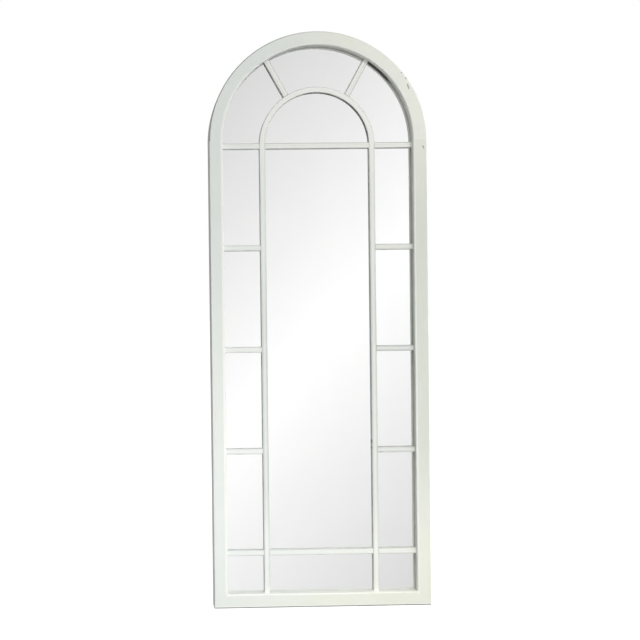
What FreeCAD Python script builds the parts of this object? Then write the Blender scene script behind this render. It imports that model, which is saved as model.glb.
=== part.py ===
import FreeCAD, Part
import math
import os
import re
import Sketcher
from FreeCAD import Placement, Rotation, Vector

# Arched window mirror: a painted wooden frame with a half round head, one sheet of mirror in
# its rebate, a lattice of thin glazing bars on the face of the sheet, a board and clips behind
# it, and two hangers with swinging rings.
# Frame: +X right and +Z up as seen from the front, +Y towards the wall. The origin is on the
# floor line, in the middle of the width and of the depth from the face to the wall.

# ---------------------------------------------------------------- driving dimensions, in mm

SIZES = [
    ("overall_width", 640, "frame, across the stiles"),
    ("spring_height", 1370, "floor line to the centre of the round head"),
    ("frame_face", 40, "width of the frame's face"),
    ("frame_depth", 36, "frame, front to back"),
    ("lip_depth", 18, "front lip, from the face to the glass"),
    ("rebate_width", 10, "how far the lip overlaps the glass space"),
    ("inner_round", 4, "rounded edge round the opening"),
    ("outer_round", 2.5, "rounded outer edge of the face"),
    ("back_chamfer", 1, "chamfer on the outer back edge"),
    ("joint_clearance", 0.1, "glue gap on each side of a tenon, tongue or bar end"),
    ("end_clearance", 0.5, "gap beyond the end of a tenon, tongue or bar"),
    ("tenon_length", 25, "tenon of the bottom rail"),
    ("tenon_thickness", 9, "tenon of the bottom rail, front to back"),
    ("tenon_shoulder", 6, "wood left above and below the tenon"),
    ("tongue_width", 22, "loose tongue, across the member"),
    ("tongue_thickness", 9, "loose tongue, front to back"),
    ("tongue_length", 50, "loose tongue, half in each member"),
    ("bar_width", 17, "glazing bar"),
    ("bar_thickness", 6, "glazing bar, front to back"),
    ("bar_round", 1.6, "rounded front edges of a glazing bar"),
    ("bar_housing", 5, "how far a bar is let into the lip"),
    ("upright_spacing", 324, "between the centre lines of the uprights"),
    ("bottom_bar_height", 158, "floor line to the centre line of the bottom transom"),
    ("bar_pitch", 300, "between the cross bars, from the bottom transom to the upper bars"),
    ("spring_bar_drop", 12, "spring line down to the centre line of the spring transom"),
    ("lap_length", 12, "lap of a short bar behind its upright"),
    ("spoke_angle", 29, "spoke, from the vertical, in degrees"),
    ("inner_arch_rise", 3, "spring transom's centre line up to the inner arch's centre"),
    ("spoke_focus_drop", 28, "spring line down to where the spokes' centre lines meet"),
    ("glass_thickness", 4, "mirror"),
    ("glass_clearance", 2, "gap round the mirror in its rebate"),
    ("glass_arris", 0.6, "ground edge of the mirror"),
    ("block_length", 30, "setting block under the mirror"),
    ("block_height", 3, "setting block under the mirror"),
    ("block_spacing", 340, "between the setting blocks"),
    ("board_thickness", 3, "backing board"),
    ("board_clearance", 1, "gap round the backing board"),
    ("clip_width", 14, "stepped clip"),
    ("clip_sheet", 1.2, "steel of the clip"),
    ("clip_foot", 20, "foot of the clip, on the frame's back"),
    ("clip_toe", 13, "toe of the clip, on the board"),
    ("clip_bend", 1, "inside radius of the clip's bends"),
    ("clip_gap", 1.5, "rebate wall to the leg of the clip"),
    ("clip_pitch", 400, "between the clips on a stile, up to the last but one"),
    ("first_clip", 120, "floor line to the lowest clip on a stile"),
    ("last_clip_drop", 50, "spring line down to the highest clip on a stile"),
    ("rail_clip_spacing", 300, "between the two clips on the rail"),
    ("screw_shank", 3.6, "diameter of every screw"),
    ("screw_length", 16, "screw, under the head"),
    ("screw_head", 7.2, "diameter of every screw head"),
    ("head_height", 2.2, "screw head"),
    ("screw_clearance", 0.05, "round a screw in its pilot hole"),
    ("plate_clearance", 0.2, "round a screw in a plate or a bumper"),
    ("hanger_drop", 120, "spring line down to the axis of the hanger rings"),
    ("strap_width", 14, "hanger strap"),
    ("strap_sheet", 1.5, "steel of the hanger strap"),
    ("strap_length", 62, "hanger strap, below the ring's axis"),
    ("lower_screw", 54, "ring's axis down to the strap's lower screw"),
    ("upper_screw", 34, "ring's axis down to the strap's upper screw"),
    ("ring_wire", 3, "wire of the hanger ring"),
    ("ring_inside", 20, "inside width of the hanger ring"),
    ("ring_side", 8, "straight sides of the hanger ring"),
    ("ring_corner", 4, "centre line radius of the ring's corners"),
    ("eye_clearance", 0.3, "round the ring's wire in the rolled eye"),
    ("bumper_height", 8, "wall bumper"),
    ("bumper_base", 18, "diameter of a bumper on the frame"),
    ("bumper_face", 16, "diameter of a bumper at the wall"),
    ("bumper_recess", 9, "diameter of the recess over the bumper's screw"),
    ("recess_depth", 4.5, "recess over the bumper's screw"),
    ("bumper_height_above_floor", 20, "floor line to the lower bumpers"),
]

# Polar angles round the centre of the head, in degrees from the right hand spring.
SEGMENT_ANGLE = 45
SEGMENT_NAMES = ["arch_right_lower", "arch_right_upper", "arch_left_upper", "arch_left_lower"]
ARCH_CLIP_ANGLES = [55, 125]
BUMPER_ANGLES = [35, 145]
BAR_ROWS = ["bottom", "lower", "middle", "upper"]
THROUGH_ROWS = ["bottom", "spring"]
STILE_CLIPS = 4
EYE_END_ANGLE = -80  # where the strap's rolled end stops, from the back of the eye
TRIM = 1             # how far a cutting shape overshoots what it cuts
SAME = 1e-6          # places nearer than this are one place
ALONG_RIGHT, ALONG_LEFT, ALONG_RAIL = 0, 180, 270

document = FreeCAD.newDocument("ArchedWindowMirror")
sheet = document.addObject("Spreadsheet::Sheet", "Sizes")
for row, (alias, number, note) in enumerate(SIZES, start=1):
    sheet.set("A%d" % row, note)
    sheet.set("B%d" % row, str(number))
    sheet.setAlias("B%d" % row, alias)
document.recompute()

# Places that several pieces share, written with the names in the sheet.
HALF_WIDTH = "overall_width / 2"
INNER_HALF = "(overall_width / 2 - frame_face)"
REBATE_HALF = "(overall_width / 2 - frame_face + rebate_width)"
REBATE_FLOOR = "(frame_face - rebate_width)"
MEMBER_MIDDLE = "(overall_width / 2 - (frame_face - rebate_width) / 2)"
BAR_FRONT = "(lip_depth - bar_thickness)"
UPRIGHT_OUTER = "(upright_spacing / 2 + bar_width / 2)"
SPRING_BAR = "(spring_height - spring_bar_drop)"
INNER_ARCH_CENTRE = "(%s + inner_arch_rise)" % SPRING_BAR
GLASS_BACK = "(lip_depth + glass_thickness)"
BOARD_BACK = "(lip_depth + glass_thickness + board_thickness)"
HANGER_AXIS = "(spring_height - hanger_drop)"
EYE_OUT = "(frame_depth + strap_sheet + eye_clearance + ring_wire / 2)"
FACE_TO_MIDDLE = "-(frame_depth + bumper_height) / 2"


def tied(text):
    """The same expression with each alias looked up in the sheet."""
    return re.sub(r"[a-z]+(_[a-z]+)+", lambda name: "Sizes." + name.group(0), text)


def value(text):
    """What an expression of aliases comes to, in mm."""
    return float(sheet.evalExpression(tied(text)))


# ---------------------------------------------------------------- sketches and features

def new_body(label):
    body = document.addObject("PartDesign::Body", label)
    body.Label = label
    return body


def sketch_on(body, name, role, offset="0"):
    """A sketch on one of the body's own origin planes, moved along the plane's normal."""
    plane = next(item for item in body.Origin.OriginFeatures if item.Role == role)
    sketch = body.newObject("Sketcher::SketchObject", name)
    sketch.AttachmentSupport = [(plane, "")]
    sketch.MapMode = "FlatFace"
    sketch.setExpression("AttachmentOffset.Base.z", tied(offset))
    return sketch


def pin_point(sketch, kind, geometry, point, text):
    """Ties one coordinate of a point to the sheet."""
    axis = -2 if kind == "DistanceX" else -1
    if abs(value(text)) < SAME:
        sketch.addConstraint(Sketcher.Constraint("PointOnObject", geometry, point, axis))
        return
    constraint = Sketcher.Constraint(kind, -1, 1, geometry, point, value(text))
    number = sketch.addConstraint(constraint)
    sketch.setExpression("Constraints[%d]" % number, tied(text))


def polygon(sketch, corners):
    """A closed outline of straight lines through corners given as pairs of expressions."""
    points = [Vector(value(across), value(up), 0) for across, up in corners]
    first = sketch.GeometryCount
    count = len(points)
    for index in range(count):
        line = Part.LineSegment(points[index], points[(index + 1) % count])
        sketch.addGeometry(line, False)
    for index in range(count):
        following = first + (index + 1) % count
        sketch.addConstraint(Sketcher.Constraint("Coincident", first + index, 2, following, 1))
    for index, (across, up) in enumerate(corners):
        pin_point(sketch, "DistanceX", first + index, 1, across)
        pin_point(sketch, "DistanceY", first + index, 1, up)


def rectangle(sketch, left, right, low, high):
    polygon(sketch, [(left, low), (right, low), (right, high), (left, high)])


def circle(sketch, across, up, radius):
    centre = Vector(value(across), value(up), 0)
    number = sketch.addGeometry(Part.Circle(centre, Vector(0, 0, 1), value(radius)), False)
    pin_point(sketch, "DistanceX", number, 3, across)
    pin_point(sketch, "DistanceY", number, 3, up)
    size_it = sketch.addConstraint(Sketcher.Constraint("Radius", number, value(radius)))
    sketch.setExpression("Constraints[%d]" % size_it, tied(radius))


def arched_outline(sketch, half_width, floor):
    """Straight sides on a level floor, under a half round head centred on the spring line."""
    half, low, spring = value(half_width), value(floor), value("spring_height")
    head = Part.Circle(Vector(0, spring, 0), Vector(0, 0, 1), half)
    left = sketch.addGeometry(Part.LineSegment(Vector(-half, spring, 0), Vector(-half, low, 0)))
    base = sketch.addGeometry(Part.LineSegment(Vector(-half, low, 0), Vector(half, low, 0)))
    right = sketch.addGeometry(Part.LineSegment(Vector(half, low, 0), Vector(half, spring, 0)))
    arc = sketch.addGeometry(Part.ArcOfCircle(head, 0, math.pi))
    for first, end, second, start in [(left, 2, base, 1), (base, 2, right, 1),
                                      (right, 2, arc, 1), (arc, 2, left, 1)]:
        sketch.addConstraint(Sketcher.Constraint("Coincident", first, end, second, start))
    sketch.addConstraint(Sketcher.Constraint("Vertical", left))
    sketch.addConstraint(Sketcher.Constraint("Horizontal", base))
    sketch.addConstraint(Sketcher.Constraint("Vertical", right))
    sketch.addConstraint(Sketcher.Constraint("Horizontal", arc, 1, arc, 3))
    sketch.addConstraint(Sketcher.Constraint("Horizontal", arc, 2, arc, 3))
    pin_point(sketch, "DistanceX", arc, 3, "0")
    pin_point(sketch, "DistanceY", arc, 3, "spring_height")
    pin_point(sketch, "DistanceY", base, 1, floor)
    size_it = sketch.addConstraint(Sketcher.Constraint("Radius", arc, half))
    sketch.setExpression("Constraints[%d]" % size_it, tied(half_width))


def pad(body, sketch, length, backwards=False, both_ways=False):
    feature = body.newObject("PartDesign::Pad", sketch.Name + "_pad")
    feature.Profile = sketch
    feature.setExpression("Length", tied(length))
    feature.Reversed = backwards
    feature.Midplane = both_ways
    document.recompute()
    return feature


def pocket(body, sketch, length, backwards=False, both_ways=False):
    """Cuts the sketch into the body, and makes sure that it took material away."""
    before = body.Shape.Volume
    feature = body.newObject("PartDesign::Pocket", sketch.Name + "_pocket")
    feature.Profile = sketch
    feature.setExpression("Length", tied(length))
    feature.Reversed = backwards
    feature.Midplane = both_ways
    document.recompute()
    if not body.Shape.Volume < before:
        raise RuntimeError("%s cuts nothing" % feature.Name)
    return feature


def revolve(body, sketch, angle=360, backwards=False):
    """Turns the sketch round its own upright axis."""
    feature = body.newObject("PartDesign::Revolution", sketch.Name + "_turned")
    feature.Profile = sketch
    feature.ReferenceAxis = (sketch, ["V_Axis"])
    feature.Angle = angle
    feature.Reversed = backwards
    document.recompute()
    return feature


def dress(body, kind, edges, setting, text):
    """Adds a fillet or chamfer on those edges of the body's shape so far."""
    shape = body.Tip.Shape
    names = []
    for number, edge in enumerate(shape.Edges, start=1):
        if any(edge.isSame(wanted) for wanted in edges(shape)):
            names.append("Edge%d" % number)
    base = body.Tip
    feature = body.newObject("PartDesign::" + kind, "%s_%s_%d" % (base.Name, kind, len(names)))
    feature.Base = (base, names)
    feature.setExpression(setting, tied(text))
    document.recompute()
    return feature


def face_at_depth(shape, depth):
    """The flat face that lies across the depth at that distance from the front."""
    for face in shape.Faces:
        flat = isinstance(face.Surface, Part.Plane)
        across = flat and abs(abs(face.normalAt(0, 0).y) - 1) < SAME
        if across and abs(face.CenterOfMass.y - depth) < SAME:
            return face
    raise RuntimeError("no face at depth %s" % depth)


def outer_edges(depth):
    return lambda shape: face_at_depth(shape, value(depth)).OuterWire.Edges


def opening_edges(depth):
    def choose(shape):
        face = face_at_depth(shape, value(depth))
        inner = [wire for wire in face.Wires if not wire.isSame(face.OuterWire)]
        return [edge for wire in inner for edge in wire.Edges]
    return choose


def long_edges(depth, shortest):
    """The edges at that depth that are longer than the ends of a bar."""
    return lambda shape: [edge for edge in face_at_depth(shape, value(depth)).Edges
                          if edge.Length > value(shortest)]


def edges_centred_on(places):
    return lambda shape: [edge for edge in shape.Edges
                          if any((edge.CenterOfMass - spot).Length < SAME for spot in places)]


# ---------------------------------------------------------------- shapes made of other shapes

def place(item, across="0", depth="0", up="0"):
    for axis, text in (("x", across), ("y", depth), ("z", up)):
        item.setExpression("Placement.Base." + axis, tied(text))


def block(name, left, right, front, back, low, high):
    """A plain box between named places, for cutting sockets and housings."""
    item = document.addObject("Part::Box", name)
    item.setExpression("Length", tied("(%s) - (%s)" % (right, left)))
    item.setExpression("Width", tied("(%s) - (%s)" % (back, front)))
    item.setExpression("Height", tied("(%s) - (%s)" % (high, low)))
    place(item, left, front, low)
    return item


def drum(name, radius, up, angle=360, start=0):
    """A round block right through the frame's depth, or a sector of one, centred on x = 0."""
    item = document.addObject("Part::Cylinder", name)
    item.setExpression("Radius", tied(radius))
    item.setExpression("Height", tied("frame_depth + 2 * %d" % TRIM))
    item.Angle = angle
    turn = Rotation(Vector(1, 0, 0), 90) * Rotation(Vector(0, 0, 1), start)
    item.Placement = Placement(Vector(0, 0, 0), turn)
    place(item, "0", "frame_depth + %d" % TRIM, up)
    return item


def combine(kind, name, base, tool):
    item = document.addObject("Part::" + kind, name)
    item.Base = base
    item.Tool = tool
    return item


def compound(name, items):
    item = document.addObject("Part::Compound", name)
    item.Links = items
    return item


def mirrored(label, source):
    item = document.addObject("Part::Mirroring", label)
    item.Label = label
    item.Source = source
    item.Base = Vector(0, 0, 0)
    item.Normal = Vector(1, 0, 0)
    return item


def copies(label, body, placements):
    """The same piece at several places, as separate solids in one node."""
    document.recompute()
    shape = body.Shape.copy()
    shape.Placement = Placement()
    item = document.addObject("Part::Feature", label)
    item.Label = label
    item.Shape = Part.makeCompound([shape.transformed(where.toMatrix()) for where in placements])
    return item


# ---------------------------------------------------------------- places of what repeats

def on_frame(angle, along, radius):
    """A place on the frame, at that radius from its middle line or from the head's centre.
    The angle says which member: a spring line angle is a stile, and 270 is the rail. The
    place's own X points into the opening and its own Z runs along the member."""
    turn = Rotation(Vector(0, 1, 0), 180 - angle)
    reach = Vector(math.cos(math.radians(angle)), 0, math.sin(math.radians(angle))) * radius
    return Placement(along + reach, turn)


def clip_places(inset):
    """Where the clips stand, measured outwards from the wall of the rebate."""
    wall = value(REBATE_HALF) + inset
    head = Vector(0, 0, value("spring_height"))
    places = [on_frame(angle, head, wall) for angle in ARCH_CLIP_ANGLES]
    levels = ["first_clip + %d * clip_pitch" % number for number in range(STILE_CLIPS - 1)]
    for level in levels + ["spring_height - last_clip_drop"]:
        up = Vector(0, 0, value(level))
        places.append(on_frame(ALONG_RIGHT, up, wall))
        places.append(on_frame(ALONG_LEFT, up, wall))
    for side in (-1, 1):
        middle = Vector(side * value("rail_clip_spacing") / 2, 0, value("frame_face"))
        places.append(on_frame(ALONG_RAIL, middle, value("rebate_width") + inset))
    return places


def bumper_places():
    radius = value(MEMBER_MIDDLE)
    head = Vector(0, 0, value("spring_height"))
    places = [on_frame(angle, head, radius) for angle in BUMPER_ANGLES]
    low = Vector(0, 0, value("bumper_height_above_floor"))
    places += [on_frame(angle, low, radius) for angle in (ALONG_RIGHT, ALONG_LEFT)]
    return places


def hanger_screw_places():
    places = []
    for drop in ("upper_screw", "lower_screw"):
        level = Vector(0, 0, value(HANGER_AXIS + " - " + drop))
        for angle in (ALONG_RIGHT, ALONG_LEFT):
            places.append(on_frame(angle, level, value(MEMBER_MIDDLE)))
    return places


def tongue_places():
    head = Vector(0, value("lip_depth"), value("spring_height"))
    places = []
    for number in range(len(SEGMENT_NAMES) + 1):
        angle = number * SEGMENT_ANGLE
        turn = Rotation(Vector(0, 1, 0), -angle)
        reach = Vector(math.cos(math.radians(angle)), 0, math.sin(math.radians(angle)))
        places.append(Placement(head + reach * value(MEMBER_MIDDLE), turn))
    return places


def sunk(places, depth):
    """The same places, moved back from the front by that depth."""
    moved = []
    for where in places:
        moved.append(Placement(where.Base + Vector(0, value(depth), 0), where.Rotation))
    return moved


# ---------------------------------------------------------------- screws

def screw_body():
    """A round-headed wood screw whose head sits on the plane y = 0, with its point at -Y."""
    body = new_body("screw")
    sketch = sketch_on(body, "screw_outline", "XY_Plane")
    polygon(sketch, [("0", "head_height"), ("0", "-screw_length"),
                     ("screw_shank / 2", "screw_shank - screw_length"), ("screw_shank / 2", "0"),
                     ("screw_head / 2", "0"), ("screw_head / 3", "head_height")])
    revolve(body, sketch)
    return body


def pilot_hole():
    """The hole for one screw, from the back of the frame."""
    item = document.addObject("Part::Cylinder", "pilot_hole")
    item.setExpression("Radius", tied("screw_shank / 2 + screw_clearance"))
    item.setExpression("Height", tied("screw_length + %d" % TRIM))
    item.Placement = Placement(Vector(0, 0, 0), Rotation(Vector(1, 0, 0), 90))
    place(item, "0", "%d" % TRIM, "0")
    document.recompute()
    return item


# ---------------------------------------------------------------- the frame

def frame_form():
    """The whole frame in one piece, before it is divided into its members."""
    body = new_body("frame_form")
    outline = sketch_on(body, "outer_outline", "XZ_Plane")
    arched_outline(outline, HALF_WIDTH, "0")
    pad(body, outline, "frame_depth", backwards=True)
    opening = sketch_on(body, "opening_outline", "XZ_Plane")
    arched_outline(opening, INNER_HALF, "frame_face")
    pocket(body, opening, "frame_depth")
    rebate = sketch_on(body, "rebate_outline", "XZ_Plane", "-frame_depth")
    arched_outline(rebate, REBATE_HALF, REBATE_FLOOR)
    pocket(body, rebate, "frame_depth - lip_depth", backwards=True)
    dress(body, "Fillet", opening_edges("0"), "Radius", "inner_round")
    dress(body, "Fillet", outer_edges("0"), "Radius", "outer_round")
    dress(body, "Chamfer", outer_edges("frame_depth"), "Size", "back_chamfer")
    return body


def tongue_body(name, gap, end_gap):
    """A loose tongue with fully rounded sides, or with gaps the slot that it goes into."""
    body = new_body(name)
    sketch = sketch_on(body, name + "_section", "XY_Plane")
    half_thick = "(tongue_thickness / 2 + %s)" % gap
    half_wide = "(tongue_width / 2 - tongue_thickness / 2)"
    radius, reach = value(half_thick), value(half_wide)
    up = Vector(0, 0, 1)
    right = Part.Circle(Vector(reach, 0, 0), up, radius)
    left = Part.Circle(Vector(-reach, 0, 0), up, radius)
    quarter = math.pi / 2
    outline = [
        Part.LineSegment(Vector(-reach, -radius, 0), Vector(reach, -radius, 0)),
        Part.ArcOfCircle(right, -quarter, quarter),
        Part.LineSegment(Vector(reach, radius, 0), Vector(-reach, radius, 0)),
        Part.ArcOfCircle(left, quarter, 3 * quarter),
    ]
    sketch.addGeometry(outline, False)
    for line, end, following, start in [(0, 2, 1, 1), (1, 2, 2, 1), (2, 2, 3, 1), (3, 2, 0, 1)]:
        sketch.addConstraint(Sketcher.Constraint("Tangent", line, end, following, start))
    sketch.addConstraint(Sketcher.Constraint("Horizontal", 0))
    sketch.addConstraint(Sketcher.Constraint("Horizontal", 2))
    for arc, side in ((1, ""), (3, "-")):
        pin_point(sketch, "DistanceX", arc, 3, side + half_wide)
    pin_point(sketch, "DistanceY", 1, 3, "0")
    size_it = sketch.addConstraint(Sketcher.Constraint("Radius", 1, radius))
    sketch.setExpression("Constraints[%d]" % size_it, tied(half_thick))
    pad(body, sketch, "tongue_length + 2 * %s" % end_gap, both_ways=True)
    return body


def bar_end(name, side, up):
    """The housing for the end of a bar that runs across, in the back of a stile's lip."""
    wide = "(bar_width / 2 + joint_clearance)"
    deep = "(overall_width / 2 - frame_face + bar_housing + end_clearance)"
    start, end = (INNER_HALF, deep) if side > 0 else ("-" + deep, "-" + INNER_HALF)
    return block(name, start, end, BAR_FRONT + " - joint_clearance", "lip_depth + %d" % TRIM,
                 up + " - " + wide, up + " + " + wide)


def bar_levels():
    """The names and heights of the rows of cross bars, from the bottom up."""
    rows = [(name, "(bottom_bar_height + %d * bar_pitch)" % number)
            for number, name in enumerate(BAR_ROWS)]
    return rows + [("spring", SPRING_BAR)]


def spoke_stick(name, side, gap, rounded):
    """A straight bar along a spoke's line, from where the two lines meet outwards."""
    body = new_body(name)
    sketch = sketch_on(body, name + "_section", "XY_Plane")
    half = "(bar_width / 2 + %s)" % gap
    rectangle(sketch, "-" + half, half, BAR_FRONT + " - " + gap, "lip_depth")
    pad(body, sketch, HALF_WIDTH + " + spoke_focus_drop")
    if rounded:
        dress(body, "Fillet", long_edges(BAR_FRONT, "2 * bar_width"), "Radius", "bar_round")
    body.Placement = Placement(Vector(0, 0, 0), Rotation(Vector(0, side, 0), value("spoke_angle")))
    body.setExpression("Placement.Rotation.Angle", tied("spoke_angle"))
    place(body, up="spring_height - spoke_focus_drop")
    return body


def joinery():
    """Every socket, slot, housing and pilot hole in the frame's members."""
    cuts = []
    for side, hand in ((-1, "left"), (1, "right")):
        deep = "(overall_width / 2 - frame_face + tenon_length + end_clearance)"
        start, end = (INNER_HALF, deep) if side > 0 else ("-" + deep, "-" + INNER_HALF)
        gap = "joint_clearance"
        cuts.append(block(hand + "_mortise", start, end,
                          "(lip_depth - tenon_thickness) / 2 - " + gap,
                          "(lip_depth + tenon_thickness) / 2 + " + gap,
                          "tenon_shoulder - " + gap, "frame_face - tenon_shoulder + " + gap))
        for name, level in bar_levels():
            cuts.append(bar_end("%s_%s_housing" % (hand, name), side, level))
        middle = "%d * upright_spacing / 2" % side
        wide = "(bar_width / 2 + joint_clearance)"
        cuts.append(block(hand + "_upright_housing", middle + " - " + wide, middle + " + " + wide,
                          BAR_FRONT + " - joint_clearance", "lip_depth + %d" % TRIM,
                          "frame_face - bar_housing - end_clearance", "frame_face + %d" % TRIM))
        stick = spoke_stick(hand + "_spoke_housing_stick", side, "joint_clearance", False)
        reach = drum(hand + "_spoke_housing_reach", INNER_HALF + " + bar_housing + end_clearance",
                     "spring_height")
        cuts.append(combine("Common", hand + "_spoke_housing", stick, reach))
    slot = tongue_body("tongue_slot", "joint_clearance", "end_clearance")
    cuts.append(copies("tongue_slots", slot, tongue_places()))
    hole = pilot_hole()
    foot_screws = clip_places(value("clip_foot") / 2)
    holes = foot_screws + bumper_places() + hanger_screw_places()
    drilled = document.addObject("Part::Feature", "pilot_holes")
    drilled.Shape = Part.makeCompound([hole.Shape.transformed(where.toMatrix())
                                       for where in sunk(holes, "frame_depth")])
    cuts.append(drilled)
    return compound("joinery", cuts)


def stile_zone():
    """What belongs to the left stile: its rebate runs through, so the rail's back fits it."""
    body = new_body("stile_zone")
    sketch = sketch_on(body, "stile_zone_section", "XY_Plane", "-%d" % TRIM)
    outside, inside = "-(%s + %d)" % (HALF_WIDTH, TRIM), "-" + INNER_HALF
    polygon(sketch, [(outside, "-%d" % TRIM), (inside, "-%d" % TRIM), (inside, "lip_depth"),
                     ("-" + REBATE_HALF, "lip_depth"),
                     ("-" + REBATE_HALF, "frame_depth + %d" % TRIM),
                     (outside, "frame_depth + %d" % TRIM)])
    pad(body, sketch, "spring_height + %d" % TRIM)
    return body


def rail_zone():
    """What belongs to the bottom rail: its back is longer than its face by both rebates."""
    body = new_body("rail_zone")
    sketch = sketch_on(body, "rail_zone_section", "XY_Plane", "-%d" % TRIM)
    face, back = INNER_HALF, REBATE_HALF
    polygon(sketch, [("-" + face, "-%d" % TRIM), (face, "-%d" % TRIM), (face, "lip_depth"),
                     (back, "lip_depth"), (back, "frame_depth + %d" % TRIM),
                     ("-" + back, "frame_depth + %d" % TRIM), ("-" + back, "lip_depth"),
                     ("-" + face, "lip_depth")])
    pad(body, sketch, "frame_face + 2 * %d" % TRIM)
    return body


def frame_members():
    """The stiles, the rail with its tenons, and the four segments of the head."""
    form = combine("Cut", "frame_with_joinery", frame_form(), joinery())
    left_zone = stile_zone()
    zones = [("left_stile", left_zone), ("right_stile", mirrored("right_stile_zone", left_zone))]
    for number, name in enumerate(SEGMENT_NAMES):
        sector = drum(name + "_zone", HALF_WIDTH + " + %d" % TRIM, "spring_height",
                      SEGMENT_ANGLE, number * SEGMENT_ANGLE)
        zones.append((name, sector))
    members = [combine("Common", name, form, zone) for name, zone in zones]
    rail = combine("Common", "rail_without_tenons", form, rail_zone())
    tenon_end = "(overall_width / 2 - frame_face + tenon_length)"
    tenon = block("tenon", "-" + tenon_end, tenon_end, "(lip_depth - tenon_thickness) / 2",
                  "(lip_depth + tenon_thickness) / 2", "tenon_shoulder",
                  "frame_face - tenon_shoulder")
    members.append(combine("Fuse", "bottom_rail", rail, tenon))
    tongue = tongue_body("tongue", "0", "0")
    members.append(copies("arch_tongues", tongue, tongue_places()))
    return members


# ---------------------------------------------------------------- the lattice

def halving(body, name, left, right, level, front, depth):
    """Half the thickness out of a bar where another bar crosses it."""
    wide = "(bar_width / 2 + joint_clearance)"
    sketch = sketch_on(body, name, "XZ_Plane", "-(%s)" % front)
    rectangle(sketch, left, right, level + " - " + wide, level + " + " + wide)
    return pocket(body, sketch, depth, backwards=True)


def left_upright():
    """A long bar from the rail up to the foot of the inner arch, halved over every cross bar."""
    body = new_body("left_upright")
    foot = "(frame_face - bar_housing)"
    sketch = sketch_on(body, "upright_section", "XY_Plane", foot)
    outer, inner = "-" + UPRIGHT_OUTER, "-(upright_spacing / 2 - bar_width / 2)"
    rectangle(sketch, outer, inner, BAR_FRONT, "lip_depth")
    pad(body, sketch, SPRING_BAR + " + bar_width / 2 - " + foot)
    dress(body, "Fillet", long_edges(BAR_FRONT, "2 * bar_width"), "Radius", "bar_round")
    half = "bar_thickness / 2"
    for name, level in bar_levels():
        lap_end = inner if name in THROUGH_ROWS else outer + " + lap_length + joint_clearance"
        halving(body, "upright_%s_halving" % name, outer, lap_end, level, "lip_depth", half)
    return body


def transom(label, level):
    """A bar right across the opening, halved in front where the uprights cross it."""
    body = new_body(label)
    sketch = sketch_on(body, label + "_section", "YZ_Plane")
    rectangle(sketch, BAR_FRONT, "lip_depth", level + " - bar_width / 2",
              level + " + bar_width / 2")
    pad(body, sketch, "2 * (%s + bar_housing)" % INNER_HALF, both_ways=True)
    dress(body, "Fillet", long_edges(BAR_FRONT, "2 * bar_width"), "Radius", "bar_round")
    wide = "(bar_width / 2 + joint_clearance)"
    for side, hand in ((-1, "left"), (1, "right")):
        middle = "%d * upright_spacing / 2" % side
        halving(body, "%s_%s_halving" % (label, hand), middle + " - " + wide,
                middle + " + " + wide, level, BAR_FRONT + " + bar_thickness / 2",
                "bar_thickness / 2")
    return body


def left_short_bar(label, level):
    """A short bar from the stile to the upright, with a lap that goes behind the upright."""
    body = new_body(label)
    sketch = sketch_on(body, label + "_section", "YZ_Plane", "-(%s + bar_housing)" % INNER_HALF)
    rectangle(sketch, BAR_FRONT, "lip_depth", level + " - bar_width / 2",
              level + " + bar_width / 2")
    shoulder = "(%s + joint_clearance)" % UPRIGHT_OUTER
    pad(body, sketch, "%s + bar_housing - %s + lap_length" % (INNER_HALF, UPRIGHT_OUTER))
    dress(body, "Fillet", long_edges(BAR_FRONT, "2 * bar_width"), "Radius", "bar_round")
    halving(body, label + "_lap", "-" + shoulder, "-%s + lap_length + %d" % (UPRIGHT_OUTER, TRIM),
            level, BAR_FRONT + " + bar_thickness / 2", "bar_thickness / 2")
    return body


def inner_arch_bar():
    """The half round bar, which stands on the tops of the uprights."""
    body = new_body("inner_arch_bar")
    sketch = sketch_on(body, "inner_arch_section", "XY_Plane")
    rectangle(sketch, "upright_spacing / 2 - bar_width / 2", UPRIGHT_OUTER, BAR_FRONT,
              "lip_depth")
    revolve(body, sketch, 180, backwards=True)
    dress(body, "Fillet", long_edges(BAR_FRONT, "2 * bar_width"), "Radius", "bar_round")
    feet = sketch_on(body, "inner_arch_feet", "XZ_Plane")
    outside = "(%s + %d)" % (UPRIGHT_OUTER, TRIM)
    rectangle(feet, "-" + outside, outside, "-%d" % TRIM, "bar_width / 2 - inner_arch_rise")
    pocket(body, feet, "lip_depth")
    place(body, up=INNER_ARCH_CENTRE)
    return body


def left_spoke():
    """A slanting bar coped to the inner arch, with its outer end let into the head."""
    stick = spoke_stick("spoke_stick", -1, "0", True)
    reach = drum("spoke_reach", INNER_HALF + " + bar_housing", "spring_height")
    trimmed = combine("Common", "spoke_trimmed", stick, reach)
    core = drum("spoke_core", UPRIGHT_OUTER + " + joint_clearance", INNER_ARCH_CENTRE)
    return combine("Cut", "left_spoke", trimmed, core)


def lattice():
    uprights = [left_upright()]
    uprights.append(mirrored("right_upright", uprights[0]))
    bars = []
    for name, level in bar_levels():
        if name in THROUGH_ROWS:
            bars.append(transom(name + "_transom", level))
            continue
        bar = left_short_bar("left_bar_" + name, level)
        bars += [bar, mirrored("right_bar_" + name, bar)]
    spoke = left_spoke()
    return uprights + bars + [inner_arch_bar(), spoke, mirrored("right_spoke", spoke)]


# ---------------------------------------------------------------- glass, board and clips

def mirror_glass():
    body = new_body("mirror_glass")
    sketch = sketch_on(body, "glass_outline", "XZ_Plane", "-lip_depth")
    arched_outline(sketch, REBATE_HALF + " - glass_clearance", REBATE_FLOOR + " + block_height")
    pad(body, sketch, "glass_thickness", backwards=True)
    dress(body, "Chamfer", outer_edges("lip_depth"), "Size", "glass_arris")
    dress(body, "Chamfer", outer_edges(GLASS_BACK), "Size", "glass_arris")
    return body


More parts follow.
